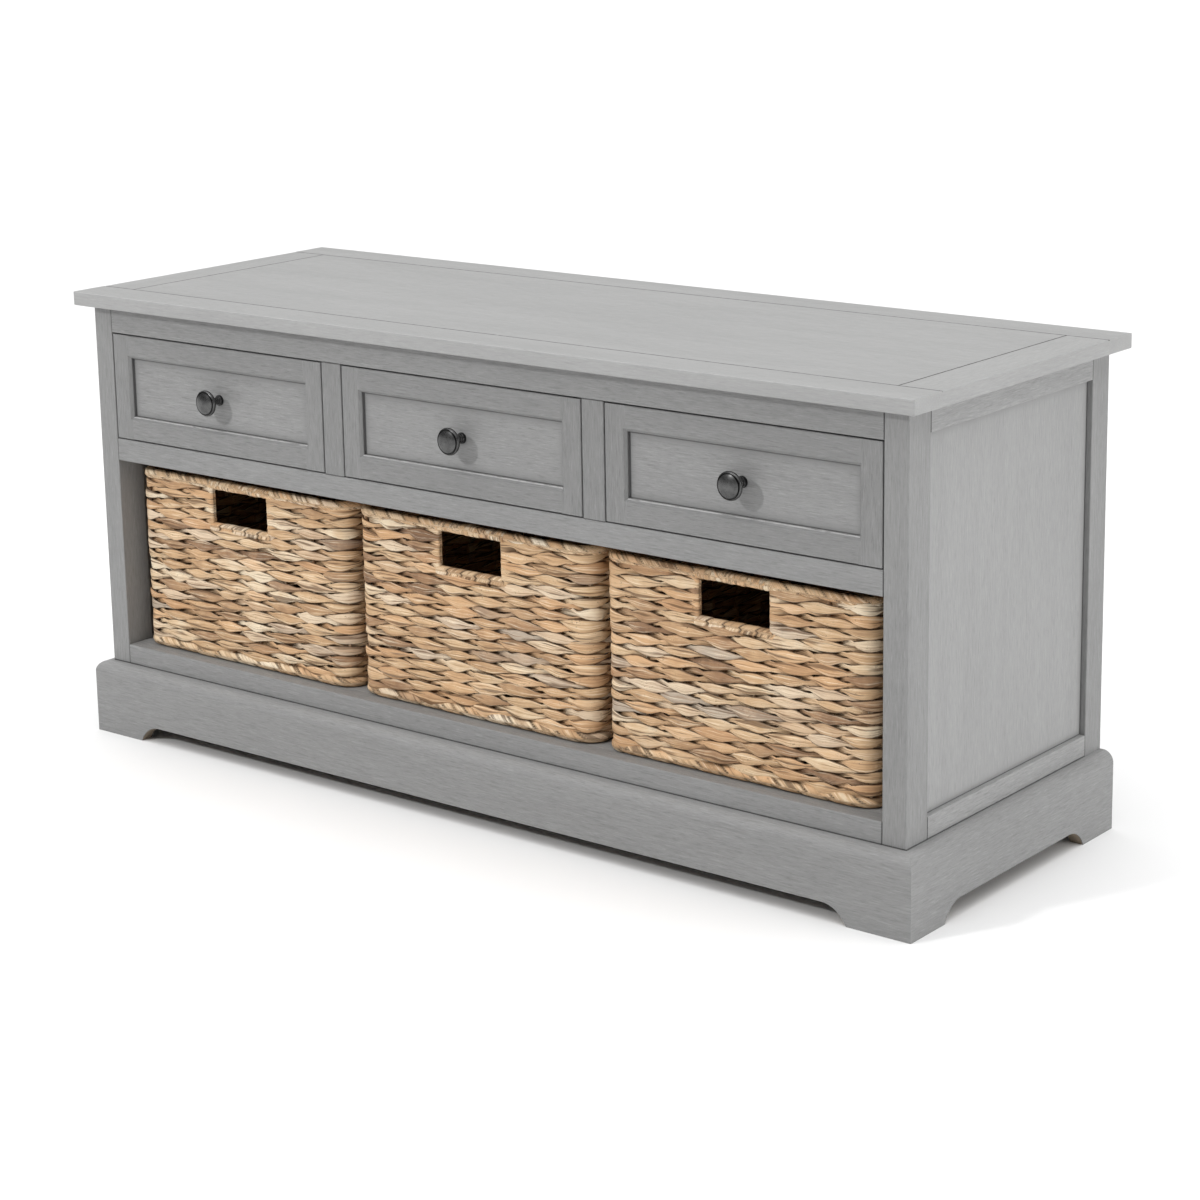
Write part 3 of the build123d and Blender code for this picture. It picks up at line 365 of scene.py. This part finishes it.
def pewter(name):
    """Dark antiqued metal, with painted shade in the groove round the knob's face and between the turned
    rings round its neck.
    """
    graph = Graph(f"pewter_{name}")
    place = graph.place()
    parts = graph.split(place)
    low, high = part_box(name)
    blotch = graph.noise(place, 140.0, 3.0, 0.5)
    grain = graph.noise(place, 1300.0, 3.0, 0.6)
    colour = graph.mix(graph.span(blotch, 0.35, 0.65), *PEWTER)
    neck = graph.span(parts[Y], KNOB_HEAD_BACK, KNOB_HEAD_BACK + 0.0004)
    rings = graph.math("SINE", graph.math("MULTIPLY", parts[Y], 2 * math.pi / NECK_RING_PITCH))
    neck_groove_shade = graph.math("MULTIPLY", neck, graph.span(rings, -0.2, -0.9))
    # Painted shade between the neck's turned rings.
    colour = graph.mix(neck_groove_shade, colour, PEWTER_NECK_GROOVE_SHADE)
    sideways = graph.math("SUBTRACT", parts[X], (low.x + high.x) / 2)
    upward = graph.math("SUBTRACT", parts[Z], (low.z + high.z) / 2)
    reach = graph.math("MULTIPLY", sideways, sideways)
    reach = graph.math("SQRT", graph.math("ADD", reach, graph.math("MULTIPLY", upward, upward)))
    groove = graph.math("ABSOLUTE", graph.math("SUBTRACT", reach, KNOB_RING))
    # Painted shade in the groove round the knob's face.
    colour = graph.mix(graph.span(groove, 0.0005, 0.0009, 0.95, 0.0), colour, PEWTER_FACE_GROOVE_SHADE)
    relief = graph.math("ADD", graph.math("MULTIPLY", neck, rings), graph.math("MULTIPLY", grain, 0.05))
    normal = graph.bump(relief, 0.5, 0.0004)
    return graph.finish(colour, graph.span(grain, 0.3, 0.7, 0.25, 0.33), normal, 0.85, 0.6)


def mottled(name, scale, tones, roughness, metallic):
    """Two tones in small blotches, for the screws and the baskets' wire."""
    graph = Graph(name)
    blotch = graph.noise(graph.place(), scale, 3.0)
    colour = graph.mix(graph.span(blotch, 0.3, 0.7), *tones)
    return graph.finish(colour, graph.span(blotch, 0.3, 0.7, *roughness), None, metallic)


def floor_white():
    graph = Graph("floor_white")
    blotch = graph.noise(graph.place(), 3.0, 2.0)
    return graph.finish(graph.mix(blotch, *FLOOR), 0.9, None, 0.0, 0.1)


def woven():
    """Dried water-hyacinth leaf: each float has its own tint, with fibres that run along the strand."""
    graph = Graph("water_hyacinth")
    strand = graph.add("ShaderNodeAttribute", attribute_name="strand").outputs["Vector"]
    tint, along, across = graph.split(strand)
    lane = graph.math("MULTIPLY", tint, 37.0)

    def leaf_noise(along_scale, across_scale, detail, roughness):
        steps = {
            0: graph.math("MULTIPLY", along, along_scale),
            1: graph.math("MULTIPLY", across, across_scale),
            2: lane,
        }
        return graph.noise(graph.add("ShaderNodeCombineXYZ", steps).outputs[0], 1.0, detail, roughness)

    fibre = leaf_noise(20.0, 640.0, 4.0, 0.66)
    fold = leaf_noise(14.0, 230.0, 2.0, 0.5)
    patch = leaf_noise(55.0, 70.0, 3.0, 0.6)
    speck = leaf_noise(420.0, 620.0, 3.0, 0.6)
    hue = graph.math("FRACT", graph.math("MULTIPLY", tint, 57.3))
    spotted = graph.math("MULTIPLY", graph.span(speck, 0.60, 0.68), graph.span(patch, 0.50, 0.62))
    colour = graph.ramp(graph.math("ADD", tint, graph.span(patch, 0.25, 0.75, -0.16, 0.16)), LEAF)
    for amount, shade in (
        (graph.span(hue, 0.62, 0.95, 0.0, 0.55), LEAF_RUSTY),
        (graph.span(hue, 0.22, 0.05, 0.0, 0.40), LEAF_PALE),
        (graph.span(fibre, 0.53, 0.66, 0.0, 0.75), LEAF_DARK_FIBRE),
        (graph.span(fibre, 0.46, 0.34, 0.0, 0.55), LEAF_LIGHT_FIBRE),
        (graph.span(fold, 0.58, 0.64, 0.0, 0.75), LEAF_FOLD),
        (graph.math("MULTIPLY", spotted, 0.7), LEAF_SPECK),
        # Painted shade along each strand's edges, where it tucks under its neighbours and between rope
        # wraps
        (graph.span(graph.math("ABSOLUTE", across), 0.0048, 0.0058, 0.0, 0.95), LEAF_EDGE_SHADE),
    ):
        colour = graph.mix(amount, colour, shade)
    relief = graph.math("ADD", graph.math("MULTIPLY", fibre, 0.6), graph.math("MULTIPLY", fold, -1.1))
    normal = graph.bump(relief, 0.8, 0.0010)
    return graph.finish(colour, graph.span(fibre, 0.3, 0.7, 0.55, 0.78), normal, 0.0, 0.28)


# ---------------------------------------------------------------- painted boards
def grain_of(name):
    """The axis that a painted board's grain runs along."""
    if name == "drawer_dividers" or name.endswith(("post", "stiles", "side_panel")):
        return Z
    return Y if name in ("plinth_left", "plinth_right") or "_side_" in name else X


def seams_of(name):
    """Planes where a painted board's end meets its neighbour, as (axis, place)."""
    if name.startswith("top_"):
        low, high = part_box("top_panel")
        along = [(Y, low.y + TOP_TONGUE), (Y, high.y - TOP_TONGUE)]
        across = [(X, low.x + TOP_TONGUE), (X, high.x - TOP_TONGUE)]
        return along if name in ("top_front_board", "top_back_board") else along + across
    above_plinth = [(Z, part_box("plinth_front")[1].z + 0.0005)]
    if name.endswith("front_rail") or (name.startswith("back_") and name.endswith("rail")):
        ends = [(X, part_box("front_left_post")[1].x), (X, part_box("front_right_post")[0].x)]
        return ends + above_plinth if name == "base_front_rail" else ends
    if "_side_" in name and name.endswith("rail"):
        ends = [(Y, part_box("front_left_post")[1].y), (Y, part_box("back_left_post")[0].y)]
        return ends + above_plinth if "bottom" in name else ends
    if name.startswith("front_") and name.endswith("post"):
        return above_plinth
    if name == "drawer_dividers":
        return [(Z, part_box("lower_front_rail")[1].z), (Z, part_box("upper_front_rail")[0].z)]
    return []


def lit_tone_of(name):
    """How much painted light or shade a board's grey carries, and how strong its brush streaks are."""
    # Painted light and shade: the top board's grey is lighter and the front boards' darker, as the light
    # falls on them.
    if name.startswith("top_"):
        return 1.08, 0.60
    if name.endswith("side_panel"):
        return 0.99, 0.75
    if name.startswith("drawer_") and name.endswith("_panel"):
        return 0.84, 1.35
    if name.startswith("drawer_"):
        return 0.71, 1.2
    if name == "upper_front_rail":
        return 0.77, 1.2
    if name in ("lower_front_rail", "base_front_rail"):
        return 0.80, 1.2
    if name.endswith("post"):
        return 0.80, 1.0
    if name.startswith("plinth"):
        return 0.83, 1.1
    return 0.95, 1.1


def field_of(name):
    """Two corners of a framed panel's open part, inside the lips that the frame hides."""
    if name.startswith("drawer_") and name.endswith("_panel"):
        lips = (DRAWER_LIP, 0, DRAWER_LIP)
    elif name.endswith("side_panel"):
        lips = (0, SIDE_LIP, SIDE_LIP)
    else:
        return None
    low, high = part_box(name)
    return [value + lip for value, lip in zip(low, lips)], [value - lip for value, lip in zip(high, lips)]


def lit_edge_height_of(name):
    """The height of the inner edge of a drawer front's lower rail, which gets a painted highlight."""
    if name.startswith("drawer_") and name.endswith("_rails"):
        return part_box(name.replace("_rails", "_panel"))[0].z + DRAWER_LIP
    return None


def slot_of(name):
    """The two depths between which a drawer front's edges carry painted shade for the gaps."""
    if name.endswith(("_stiles", "_rails")):
        low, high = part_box(name)
        return low.y + DRAWER_FACE, high.y
    return None


def bare_cut_of(name):
    """The cut edges of the plinth's arches: (axis, low, high, top, back)."""
    low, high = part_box(name)
    if name == "plinth_front":
        return Y, low.y + PLINTH_FACE, low.y + PLINTH_THICK, ARCH_TOP, high.y
    if name == "plinth_left":
        return X, low.x + PLINTH_FACE, low.x + PLINTH_THICK, ARCH_TOP, high.y
    if name == "plinth_right":
        return X, high.x - PLINTH_THICK, high.x - PLINTH_FACE, ARCH_TOP, high.y
    return None


def dress_cad():
    """Gives every CAD node its material."""
    drawer_along_x = bare_wood("drawer_wood_x", X, DRAWER_WOOD)
    drawer_along_y = bare_wood("drawer_wood_y", Y, DRAWER_WOOD)
    batten = bare_wood("batten_wood", X, BATTEN_WOOD)
    runner = bare_wood("runner_wood", Y, BATTEN_WOOD)
    plated = mottled("zinc_plated_steel", 900.0, STEEL, (0.3, 0.42), 1.0)
    wire = mottled("wire_paint", 300.0, WIRE, (0.5, 0.65), 0.0)
    for number, name in enumerate(sorted(nodes)):
        if name.endswith("_knob"):
            material = pewter(name)
        elif name.endswith(("screw", "screws")):
            material = plated
        elif name.endswith(("wire_frame", "_weave")):
            material = wire
        elif name.endswith("box_sides"):
            material = drawer_along_y
        elif name.endswith("box_ends") or (name.startswith("drawer_") and name.endswith("_bottom")):
            material = drawer_along_x
        elif name == "cleats":
            material = batten
        elif name in ("drawer_kickers", "drawer_runners"):
            material = runner
        else:
            material = painted(name, (0.37 * number, 0.61 * number, 0.83 * number))
        node = nodes[name]
        node.data.materials.clear()
        node.data.materials.append(material)


# ---------------------------------------------------------------- woven baskets
def make_mesh(name, points, quads, strand):
    """An object from arrays: points (n, 3), quads (m, 4) and a strand coordinate (tint, along, across)."""
    mesh = bpy.data.meshes.new(name)
    mesh.vertices.add(len(points))
    mesh.vertices.foreach_set("co", np.asarray(points, np.float32).ravel())
    mesh.loops.add(quads.size)
    mesh.loops.foreach_set("vertex_index", quads.astype(np.int32).ravel())
    mesh.polygons.add(len(quads))
    mesh.polygons.foreach_set("loop_start", np.arange(0, quads.size, 4, dtype=np.int32))
    mesh.polygons.foreach_set("use_smooth", np.full(len(quads), True))
    mesh.update(calc_edges=True)
    attribute = mesh.attributes.new("strand", "FLOAT_VECTOR", "POINT")
    attribute.data.foreach_set("vector", np.asarray(strand, np.float32).ravel())
    obj = bpy.data.objects.new(name, mesh)
    bpy.context.scene.collection.objects.link(obj)
    return obj


class Pile:
    """Collects swept tubes into one mesh."""

    def __init__(self):
        self.points, self.quads, self.strand, self.count = [], [], [], 0

    def tube(self, rings, strand, closed=False):
        """rings is (n, sides, 3). A closed tube joins its last ring to its first, an open one is capped."""
        n, sides, _ = rings.shape
        index = self.count + np.arange(n * sides).reshape(n, sides)
        following = np.roll(index, -1, axis=1)
        ahead, ahead_following = np.roll(index, -1, axis=0), np.roll(following, -1, axis=0)
        last = n if closed else n - 1
        quads = np.stack([index, following, ahead_following, ahead], axis=-1)[:last].reshape(-1, 4)
        self.points.append(rings.reshape(-1, 3))
        self.strand.append(strand.reshape(-1, 3))
        self.quads.append(quads)
        self.count += n * sides
        if not closed:
            for ring in (index[0][::-1], index[-1]):
                cap = [
                    (ring[i], ring[i + 1], ring[sides - 2 - i], ring[sides - 1 - i])
                    for i in range(sides // 2 - 1)
                ]
                self.quads.append(np.array(cap))

    def build(self, name):
        points, strand = np.concatenate(self.points), np.concatenate(self.strand)
        return make_mesh(name, points, np.concatenate(self.quads), strand)


def circle(sides):
    """Angles of the points of a ring."""
    return 2 * math.pi * np.arange(sides) / sides


def loop_place(distance, width, depth, corner):
    """Points on a rounded rectangle round the origin, their outward normals and the length of the loop.

    distance runs anticlockwise from the middle of the right side.
    """
    flat_x, flat_y, arc = width - 2 * corner, depth - 2 * corner, corner * math.pi / 2
    total = 2 * flat_x + 2 * flat_y + 4 * arc
    s = np.mod(distance, total)
    x, y, nx, ny = (np.zeros_like(s) for _ in range(4))
    pieces = [
        ("line", flat_y / 2, (width / 2, 0), (0, 1)),
        ("arc", arc, (width / 2 - corner, depth / 2 - corner), 0.0),
        ("line", flat_x, (width / 2 - corner, depth / 2), (-1, 0)),
        ("arc", arc, (-width / 2 + corner, depth / 2 - corner), 0.5),
        ("line", flat_y, (-width / 2, depth / 2 - corner), (0, -1)),
        ("arc", arc, (-width / 2 + corner, -depth / 2 + corner), 1.0),
        ("line", flat_x, (-width / 2 + corner, -depth / 2), (1, 0)),
        ("arc", arc, (width / 2 - corner, -depth / 2 + corner), 1.5),
        ("line", flat_y / 2, (width / 2, -depth / 2 + corner), (0, 1)),
    ]
    start = 0.0
    for kind, length, origin, way in pieces:
        here = (s >= start) & (s <= start + length)
        t = s[here] - start
        if kind == "line":
            x[here], y[here] = origin[0] + way[0] * t, origin[1] + way[1] * t
            nx[here], ny[here] = way[1], -way[0]
        else:
            angle = way * math.pi + t / corner
            nx[here], ny[here] = np.cos(angle), np.sin(angle)
            x[here], y[here] = origin[0] + corner * nx[here], origin[1] + corner * ny[here]
        start += length
    return np.stack([x, y], -1), np.stack([nx, ny], -1), total


def inset_loop(size, inset):
    """The rounded rectangle that lies inset inside a basket's outline, and its length."""
    loop = (size[0] - 2 * inset, size[1] - 2 * inset, CORNER - inset)
    return loop, loop_place(np.zeros(1), *loop)[2]


def wander(rng, distance, total, size, waves=(21, 37, 57)):
    """A smooth random offset along a strand, which comes back to its start after a whole turn."""
    offset = np.zeros_like(distance)
    for count in waves:
        offset += np.sin(2 * math.pi * (count * distance / total + rng.uniform())) * rng.uniform(0.4, 1.0)
    return offset * size / len(waves)


def turn_back(line):
    """Carries both ends of an open strand round the edge of the wall, at a hand hole."""
    along = np.stack([-line["normal"][:, 1], line["normal"][:, 0]], -1)
    for side, way in ((0, -1.0), (-1, 1.0)):
        added = {key: np.repeat(values[[side]], len(EDGE_TURN), 0) for key, values in line.items()}
        added["place"] = added["place"] + way * EDGE_ROUND * np.sin(EDGE_TURN)[:, None] * along[side]
        added["shift"] = EDGE_SHIFT * np.cos(EDGE_TURN)
        added["distance"] = added["distance"] + way * EDGE_TURN * EDGE_ROUND
        for key, values in line.items():
            both = [added[key][::-1], values] if side == 0 else [values, added[key]]
            line[key] = np.concatenate(both)


def weave_row(pile, rng, size, row, height, pitch, spans):
    """One strand that goes round the basket, in front of one stake and behind the next.

    spans are the stretches that the strand covers. Where a stretch ends at a hand hole, the strand turns
    back round the edge of the wall.
    """
    loop, total = inset_loop(size, WALL_INSET)
    step = total / STAKES
    floats = STAKES // 2
    tints = np.clip(rng.normal(0.50, 0.24, floats), 0.0, 1.0)
    plump = rng.uniform(0.84, 1.22, floats)
    lift = rng.normal(0.0, 0.00050, floats)
    lean = rng.normal(0.0, 0.030, floats)
    push = rng.normal(0.0, 0.00045, floats)
    crease = rng.uniform(-0.75, 0.75, floats)
    fold = rng.uniform(-0.00045, 0.00045, floats)
    for low, high in spans:
        closed = high - low >= total - 1e-9
        count = STAKES * STEPS if closed else max(3, int((high - low) / step * STEPS))
        distance = low + (high - low) * (np.arange(count) / (count if closed else count - 1))
        drift = wander(rng, distance, total, 0.34, (3, 7, 11))
        phase = np.mod(distance / step + 0.5 + row + drift, STAKES)
        which = np.mod(np.floor((phase + 1) / 2), floats).astype(int)
        local = np.mod(phase + 1, 2) - 1
        t = np.abs(local)
        swing = WEAVE_SWING * np.cos(math.pi * t)
        lens = np.sqrt(np.cos(math.pi * t) ** 2 + 0.006)
        half_high = pitch * (0.30 + 0.76 * lens) * (1 + (plump[which] - 1) * (1 - t))
        half_high = half_high * (1 + wander(rng, distance, total, 0.12))
        z = height + lift[which] * (1 - t) + lean[which] * local * step * (1 - t)
        z = z + wander(rng, distance, total, 0.0007)
        if not closed:
            end = np.clip(np.minimum(distance - low, high - distance) / END_FADE, 0.0, 1.0)
            swing = swing * end + EDGE_SHIFT * (1 - end)
            half_high = half_high * end + pitch * rng.uniform(0.60, 0.90) * (1 - end)
        place, normal, _ = loop_place(distance, *loop)
        line = {
            "place": place,
            "normal": normal,
            "distance": distance,
            "shift": swing + push[which] * (1 - t),
            "z": z,
            "half_high": half_high,
            "half_thick": STRAND_THICK * (0.75 + 0.25 * np.cos(math.pi * t / 2)),
            "which": which,
        }
        if not closed:
            turn_back(line)
        which = line["which"]
        angle = circle(STRAND_SIDES)
        up = np.sign(np.sin(angle)) * np.abs(np.sin(angle)) ** 0.9
        out = np.sign(np.cos(angle)) * np.abs(np.cos(angle)) ** 0.6
        layer = fold[which][:, None] * np.tanh((up[None] - crease[which][:, None]) / 0.12)
        outward = line["shift"][:, None] + line["half_thick"][:, None] * out[None] + layer
        rings = np.zeros((len(which), STRAND_SIDES, 3))
        rings[:, :, :2] = line["place"][:, None] + line["normal"][:, None] * outward[:, :, None]
        rings[:, :, 2] = line["z"][:, None] + line["half_high"][:, None] * up[None]
        strand = np.zeros_like(rings)
        strand[:, :, 0] = tints[which][:, None]
        strand[:, :, 1] = line["distance"][:, None] + row * 3.1
        strand[:, :, 2] = STRAND_SPAN * up[None]
        pile.tube(rings, strand, closed)


def wrapped_rope(pile, rng, centre, across, upward, distance, wrap, closed):
    """A core along centre, wrapped in strips of leaf. across and upward span its section."""
    radius, pitch, slant, groove = wrap
    angle = circle(ROPE_SIDES)
    turn = distance[:, None] / pitch + slant * angle[None] / (2 * math.pi)
    number = np.floor(turn).astype(int)
    part = turn - number
    number = np.mod(number, max(1, int(round(distance[-1] / pitch)))) if closed else number
    seed = np.mod(np.abs(number) * 7919 + 17, STRIP_SHADES)
    tints = np.clip(rng.normal(0.60, 0.17, STRIP_SHADES), 0.05, 1.0)
    sizes = rng.uniform(0.92, 1.06, STRIP_SHADES)
    r = radius * (1 - groove * np.abs(2 * part - 1) ** 7) * sizes[seed]
    rings = centre[:, None] + across[:, None] * (np.cos(angle)[None] * r)[:, :, None]
    rings = rings + upward[:, None] * (np.sin(angle)[None] * r)[:, :, None]
    strand = np.zeros_like(rings)
    strand[:, :, 0] = tints[seed]
    strand[:, :, 1] = angle[None] * radius * 1.4 + number * 0.31
    strand[:, :, 2] = np.abs(2 * part - 1) * STRAND_SPAN
    pile.tube(rings, strand, closed)


def ring_rope(pile, rng, size, height, wrap):
    """A wrapped rope round the basket, with a whole number of strips."""
    radius, pitch, slant, groove = wrap
    loop, total = inset_loop(size, radius)
    pitch = total / round(total / pitch)
    count = int(total / RING_STEP)
    distance = total * np.arange(count) / count
    place, normal, _ = loop_place(distance, *loop)
    centre = np.concatenate([place, np.full((count, 1), height)], 1)
    across = np.concatenate([normal, np.zeros((count, 1))], 1)
    upward = np.tile([0.0, 0.0, 1.0], (count, 1))
    wrapped_rope(pile, rng, centre, across, upward, distance, (radius, pitch, slant, groove), True)


def straight_rope(pile, rng, start, end, across, wrap):
    """A wrapped rope from start to end, with rounded ends."""
    start, end, across = (np.array(value, float) for value in (start, end, across))
    length = np.linalg.norm(end - start)
    count = max(8, int(length / STRAIGHT_STEP))
    way = (end - start) / length
    upward = np.cross(way, across)
    distance = length * np.arange(count) / (count - 1)
    centre = start + way * distance[:, None]
    taper = np.clip(np.minimum(distance, length - distance) / (wrap[0] * 0.6), 0.05, 1.0)
    taper = np.sqrt(taper)[:, None]
    across, upward = np.tile(across, (count, 1)) * taper, np.tile(upward, (count, 1)) * taper
    wrapped_rope(pile, rng, centre, across, upward, distance, wrap, False)


def basket_walls(pile, rng, size):
    """The rows of strands and the stakes of one basket."""
    loop, total = inset_loop(size, WALL_INSET)
    width, depth, corner = loop
    bottom, top = 2 * ROPE - 0.0014, size.z - 2 * ROPE + 0.0012
    pitch = (top - bottom) / ROWS
    hole_low = size.z - HOLE_DROP - HOLE_HEIGHT
    jamb = HOLE_WIDTH / 2 + HOLE_JAMB
    quarter = (depth - 2 * corner) / 2 + corner * math.pi / 2 + (width - 2 * corner) / 2
    for row in range(ROWS):
        height = bottom + (row + 0.5) * pitch
        if hole_low - 0.008 < height:
            spans = [(-quarter + jamb, quarter - jamb), (quarter + jamb, 3 * quarter - jamb)]
        else:
            spans = [(0.0, total)]
        weave_row(pile, rng, size, row, height, pitch, spans)
    angle = circle(THIN_SIDES)
    for stake in range(STAKES):
        spot = loop_place(np.array([(stake + 0.5) * (total / STAKES)]), *loop)[0][0]
        near_hole = abs(spot[0]) < jamb and abs(abs(spot[1]) - depth / 2) < 1e-6
        rings = np.zeros((2, THIN_SIDES, 3))
        rings[:, :, 0] = spot[0] + STAKE_RADIUS * np.cos(angle)
        rings[:, :, 1] = spot[1] + STAKE_RADIUS * np.sin(angle)
        rings[0, :, 2], rings[1, :, 2] = bottom, hole_low - 0.006 if near_hole else top
        strand = np.zeros_like(rings)
        strand[:, :, 0] = STAKE_TINT
        strand[1, :, 1] = 0.2
        strand[:, :, 2] = 0.001 * angle
        pile.tube(rings, strand)


def basket_ropes(pile, rng, size):
    """The wrapped rim, the wrapped foot and the edges of the two hand holes."""
    rim = size.z - ROPE - ROPE_INSET
    sill = size.z - HOLE_DROP - HOLE_HEIGHT - 0.0042
    half = HOLE_WIDTH / 2
    ring_rope(pile, rng, size, rim, RIM_WRAP)
    ring_rope(pile, rng, size, ROPE + ROPE_INSET, FOOT_WRAP)
    for side in (-1, 1):
        y, across = side * (size.y / 2 - ROPE), (0, side, 0)
        straight_rope(pile, rng, (-half - 0.006, y, rim), (half + 0.008, y, rim), across, HOLE_TOP_WRAP)
        straight_rope(pile, rng, (-half - 0.007, y, sill), (half + 0.007, y, sill), across, HOLE_SILL_WRAP)


def basket_floor(pile, rng, size):
    """The plain-woven mat in the bottom of the basket."""
    reach = (size.x / 2 - MAT_INSET, size.y / 2 - MAT_INSET)
    count = MAT_STRIPS * 4
    angle = circle(THIN_SIDES)
    for axis in (X, Y):
        span, spread = reach[axis], reach[1 - axis]
        wide = spread / MAT_STRIPS * 0.93
        along = np.linspace(-span, span, count)
        for strip in range(MAT_STRIPS):
            offset = -spread + (strip + 0.5) * 2 * spread / MAT_STRIPS
            wave = np.cos(math.pi * (along + span) / (2 * span) * MAT_STRIPS + math.pi * (strip + axis))
            rings = np.zeros((count, THIN_SIDES, 3))
            rings[:, :, axis] = along[:, None]
            rings[:, :, 1 - axis] = offset + wide * np.cos(angle)[None]
            rings[:, :, 2] = MAT_HEIGHT + 0.0014 * wave[:, None] + 0.0012 * np.sin(angle)[None]
            strand = np.zeros_like(rings)
            strand[:, :, 0] = np.clip(rng.normal(0.5, 0.2), 0, 1)
            strand[:, :, 1] = along[:, None] + strip * 1.7
            strand[:, :, 2] = wide * np.cos(angle)[None]
            pile.tube(rings, strand)


def make_baskets():
    """Three woven pieces on each basket, in place of its plain CAD solid."""
    material = woven()
    for number, place in enumerate(PLACES):
        low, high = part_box(f"basket_{place}_weave")
        centre = (low + high) / 2
        for part, fill, seed in (
            ("strands", basket_walls, 40),
            ("ropes", basket_ropes, 70),
            ("mat", basket_floor, 90),
        ):
            pile = Pile()
            fill(pile, np.random.default_rng(seed + number), high - low)
            obj = pile.build(f"basket_{place}_{part}")
            obj.location = (centre.x, centre.y, low.z)
            obj.data.materials.append(material)
            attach(obj, f"basket_{place}")
            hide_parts(f"basket_{place}_weave")


# ---------------------------------------------------------------- floor, light and camera
def make_floor():
    mesh = bpy.data.meshes.new("floor")
    corners = [(x * FLOOR_REACH, y * FLOOR_REACH, 0) for x, y in ((-1, -1), (1, -1), (1, 1), (-1, 1))]
    mesh.from_pydata(corners, [], [(0, 1, 2, 3)])
    floor = bpy.data.objects.new("floor", mesh)
    floor.data.materials.append(floor_white())
    bpy.context.scene.collection.objects.link(floor)


def make_world():
    """Light that grows towards the zenith, and plain white where the camera sees it."""
    world = bpy.data.worlds.new("studio")
    world.use_nodes = True
    tree = world.node_tree
    background = tree.nodes["Background"]
    background.inputs[0].default_value = (1.0, 1.0, 1.0, 1.0)
    place = tree.nodes.new("ShaderNodeTexCoord")
    parts = tree.nodes.new("ShaderNodeSeparateXYZ")
    upward = tree.nodes.new("ShaderNodeMath")
    upward.operation = "POWER"
    upward.inputs[1].default_value = 3.0
    height = tree.nodes.new("ShaderNodeMapRange")
    height.inputs[3].default_value, height.inputs[4].default_value = SKY_LOW, SKY_HIGH
    ray = tree.nodes.new("ShaderNodeLightPath")
    shown = tree.nodes.new("ShaderNodeMix")
    shown.inputs[3].default_value = 1.0
    tree.links.new(place.outputs["Generated"], parts.inputs[0])
    tree.links.new(parts.outputs[Z], upward.inputs[0])
    tree.links.new(upward.outputs[0], height.inputs[0])
    tree.links.new(ray.outputs["Is Camera Ray"], shown.inputs[0])
    tree.links.new(height.outputs[0], shown.inputs[2])
    tree.links.new(shown.outputs[0], background.inputs[1])
    bpy.context.scene.world = world


def area_light(name, place, target, size, power):
    data = bpy.data.lights.new(name, "AREA")
    data.shape = "RECTANGLE"
    data.size, data.size_y = size
    data.energy = power
    lamp = bpy.data.objects.new(name, data)
    lamp.location = place
    lamp.rotation_mode = "QUATERNION"
    lamp.rotation_quaternion = (Vector(target) - Vector(place)).to_track_quat("-Z", "Y")
    bpy.context.scene.collection.objects.link(lamp)


def make_camera():
    data = bpy.data.cameras.new("photo_view")
    data.sensor_width = SENSOR
    data.lens = LENS
    data.shift_y = SHIFT_UP
    data.clip_start, data.clip_end = 0.1, 200.0
    azimuth, elevation, roll = (math.radians(angle) for angle in (AZIMUTH, ELEVATION, ROLL))
    level = math.cos(elevation)
    back = Vector((math.sin(azimuth) * level, -math.cos(azimuth) * level, math.sin(elevation)))
    camera = bpy.data.objects.new("photo_view", data)
    camera.location = CAMERA_PLACE
    camera.rotation_mode = "QUATERNION"
    camera.rotation_quaternion = (-back).to_track_quat("-Z", "Y") @ Quaternion((0, 0, 1), roll)
    bpy.context.scene.collection.objects.link(camera)
    bpy.context.scene.camera = camera


dress_cad()
make_baskets()
make_floor()
make_world()
area_light("right_light", (3.4, 0.4, 0.8), (0, 0, 0.1), (2.2, 1.4), 38.0)
area_light("key_light", (-0.85, -2.8, 1.95), (0, 0, 0.35), (0.24, 0.24), 38.0)
make_camera()
bpy.context.scene.view_settings.view_transform = "Standard"
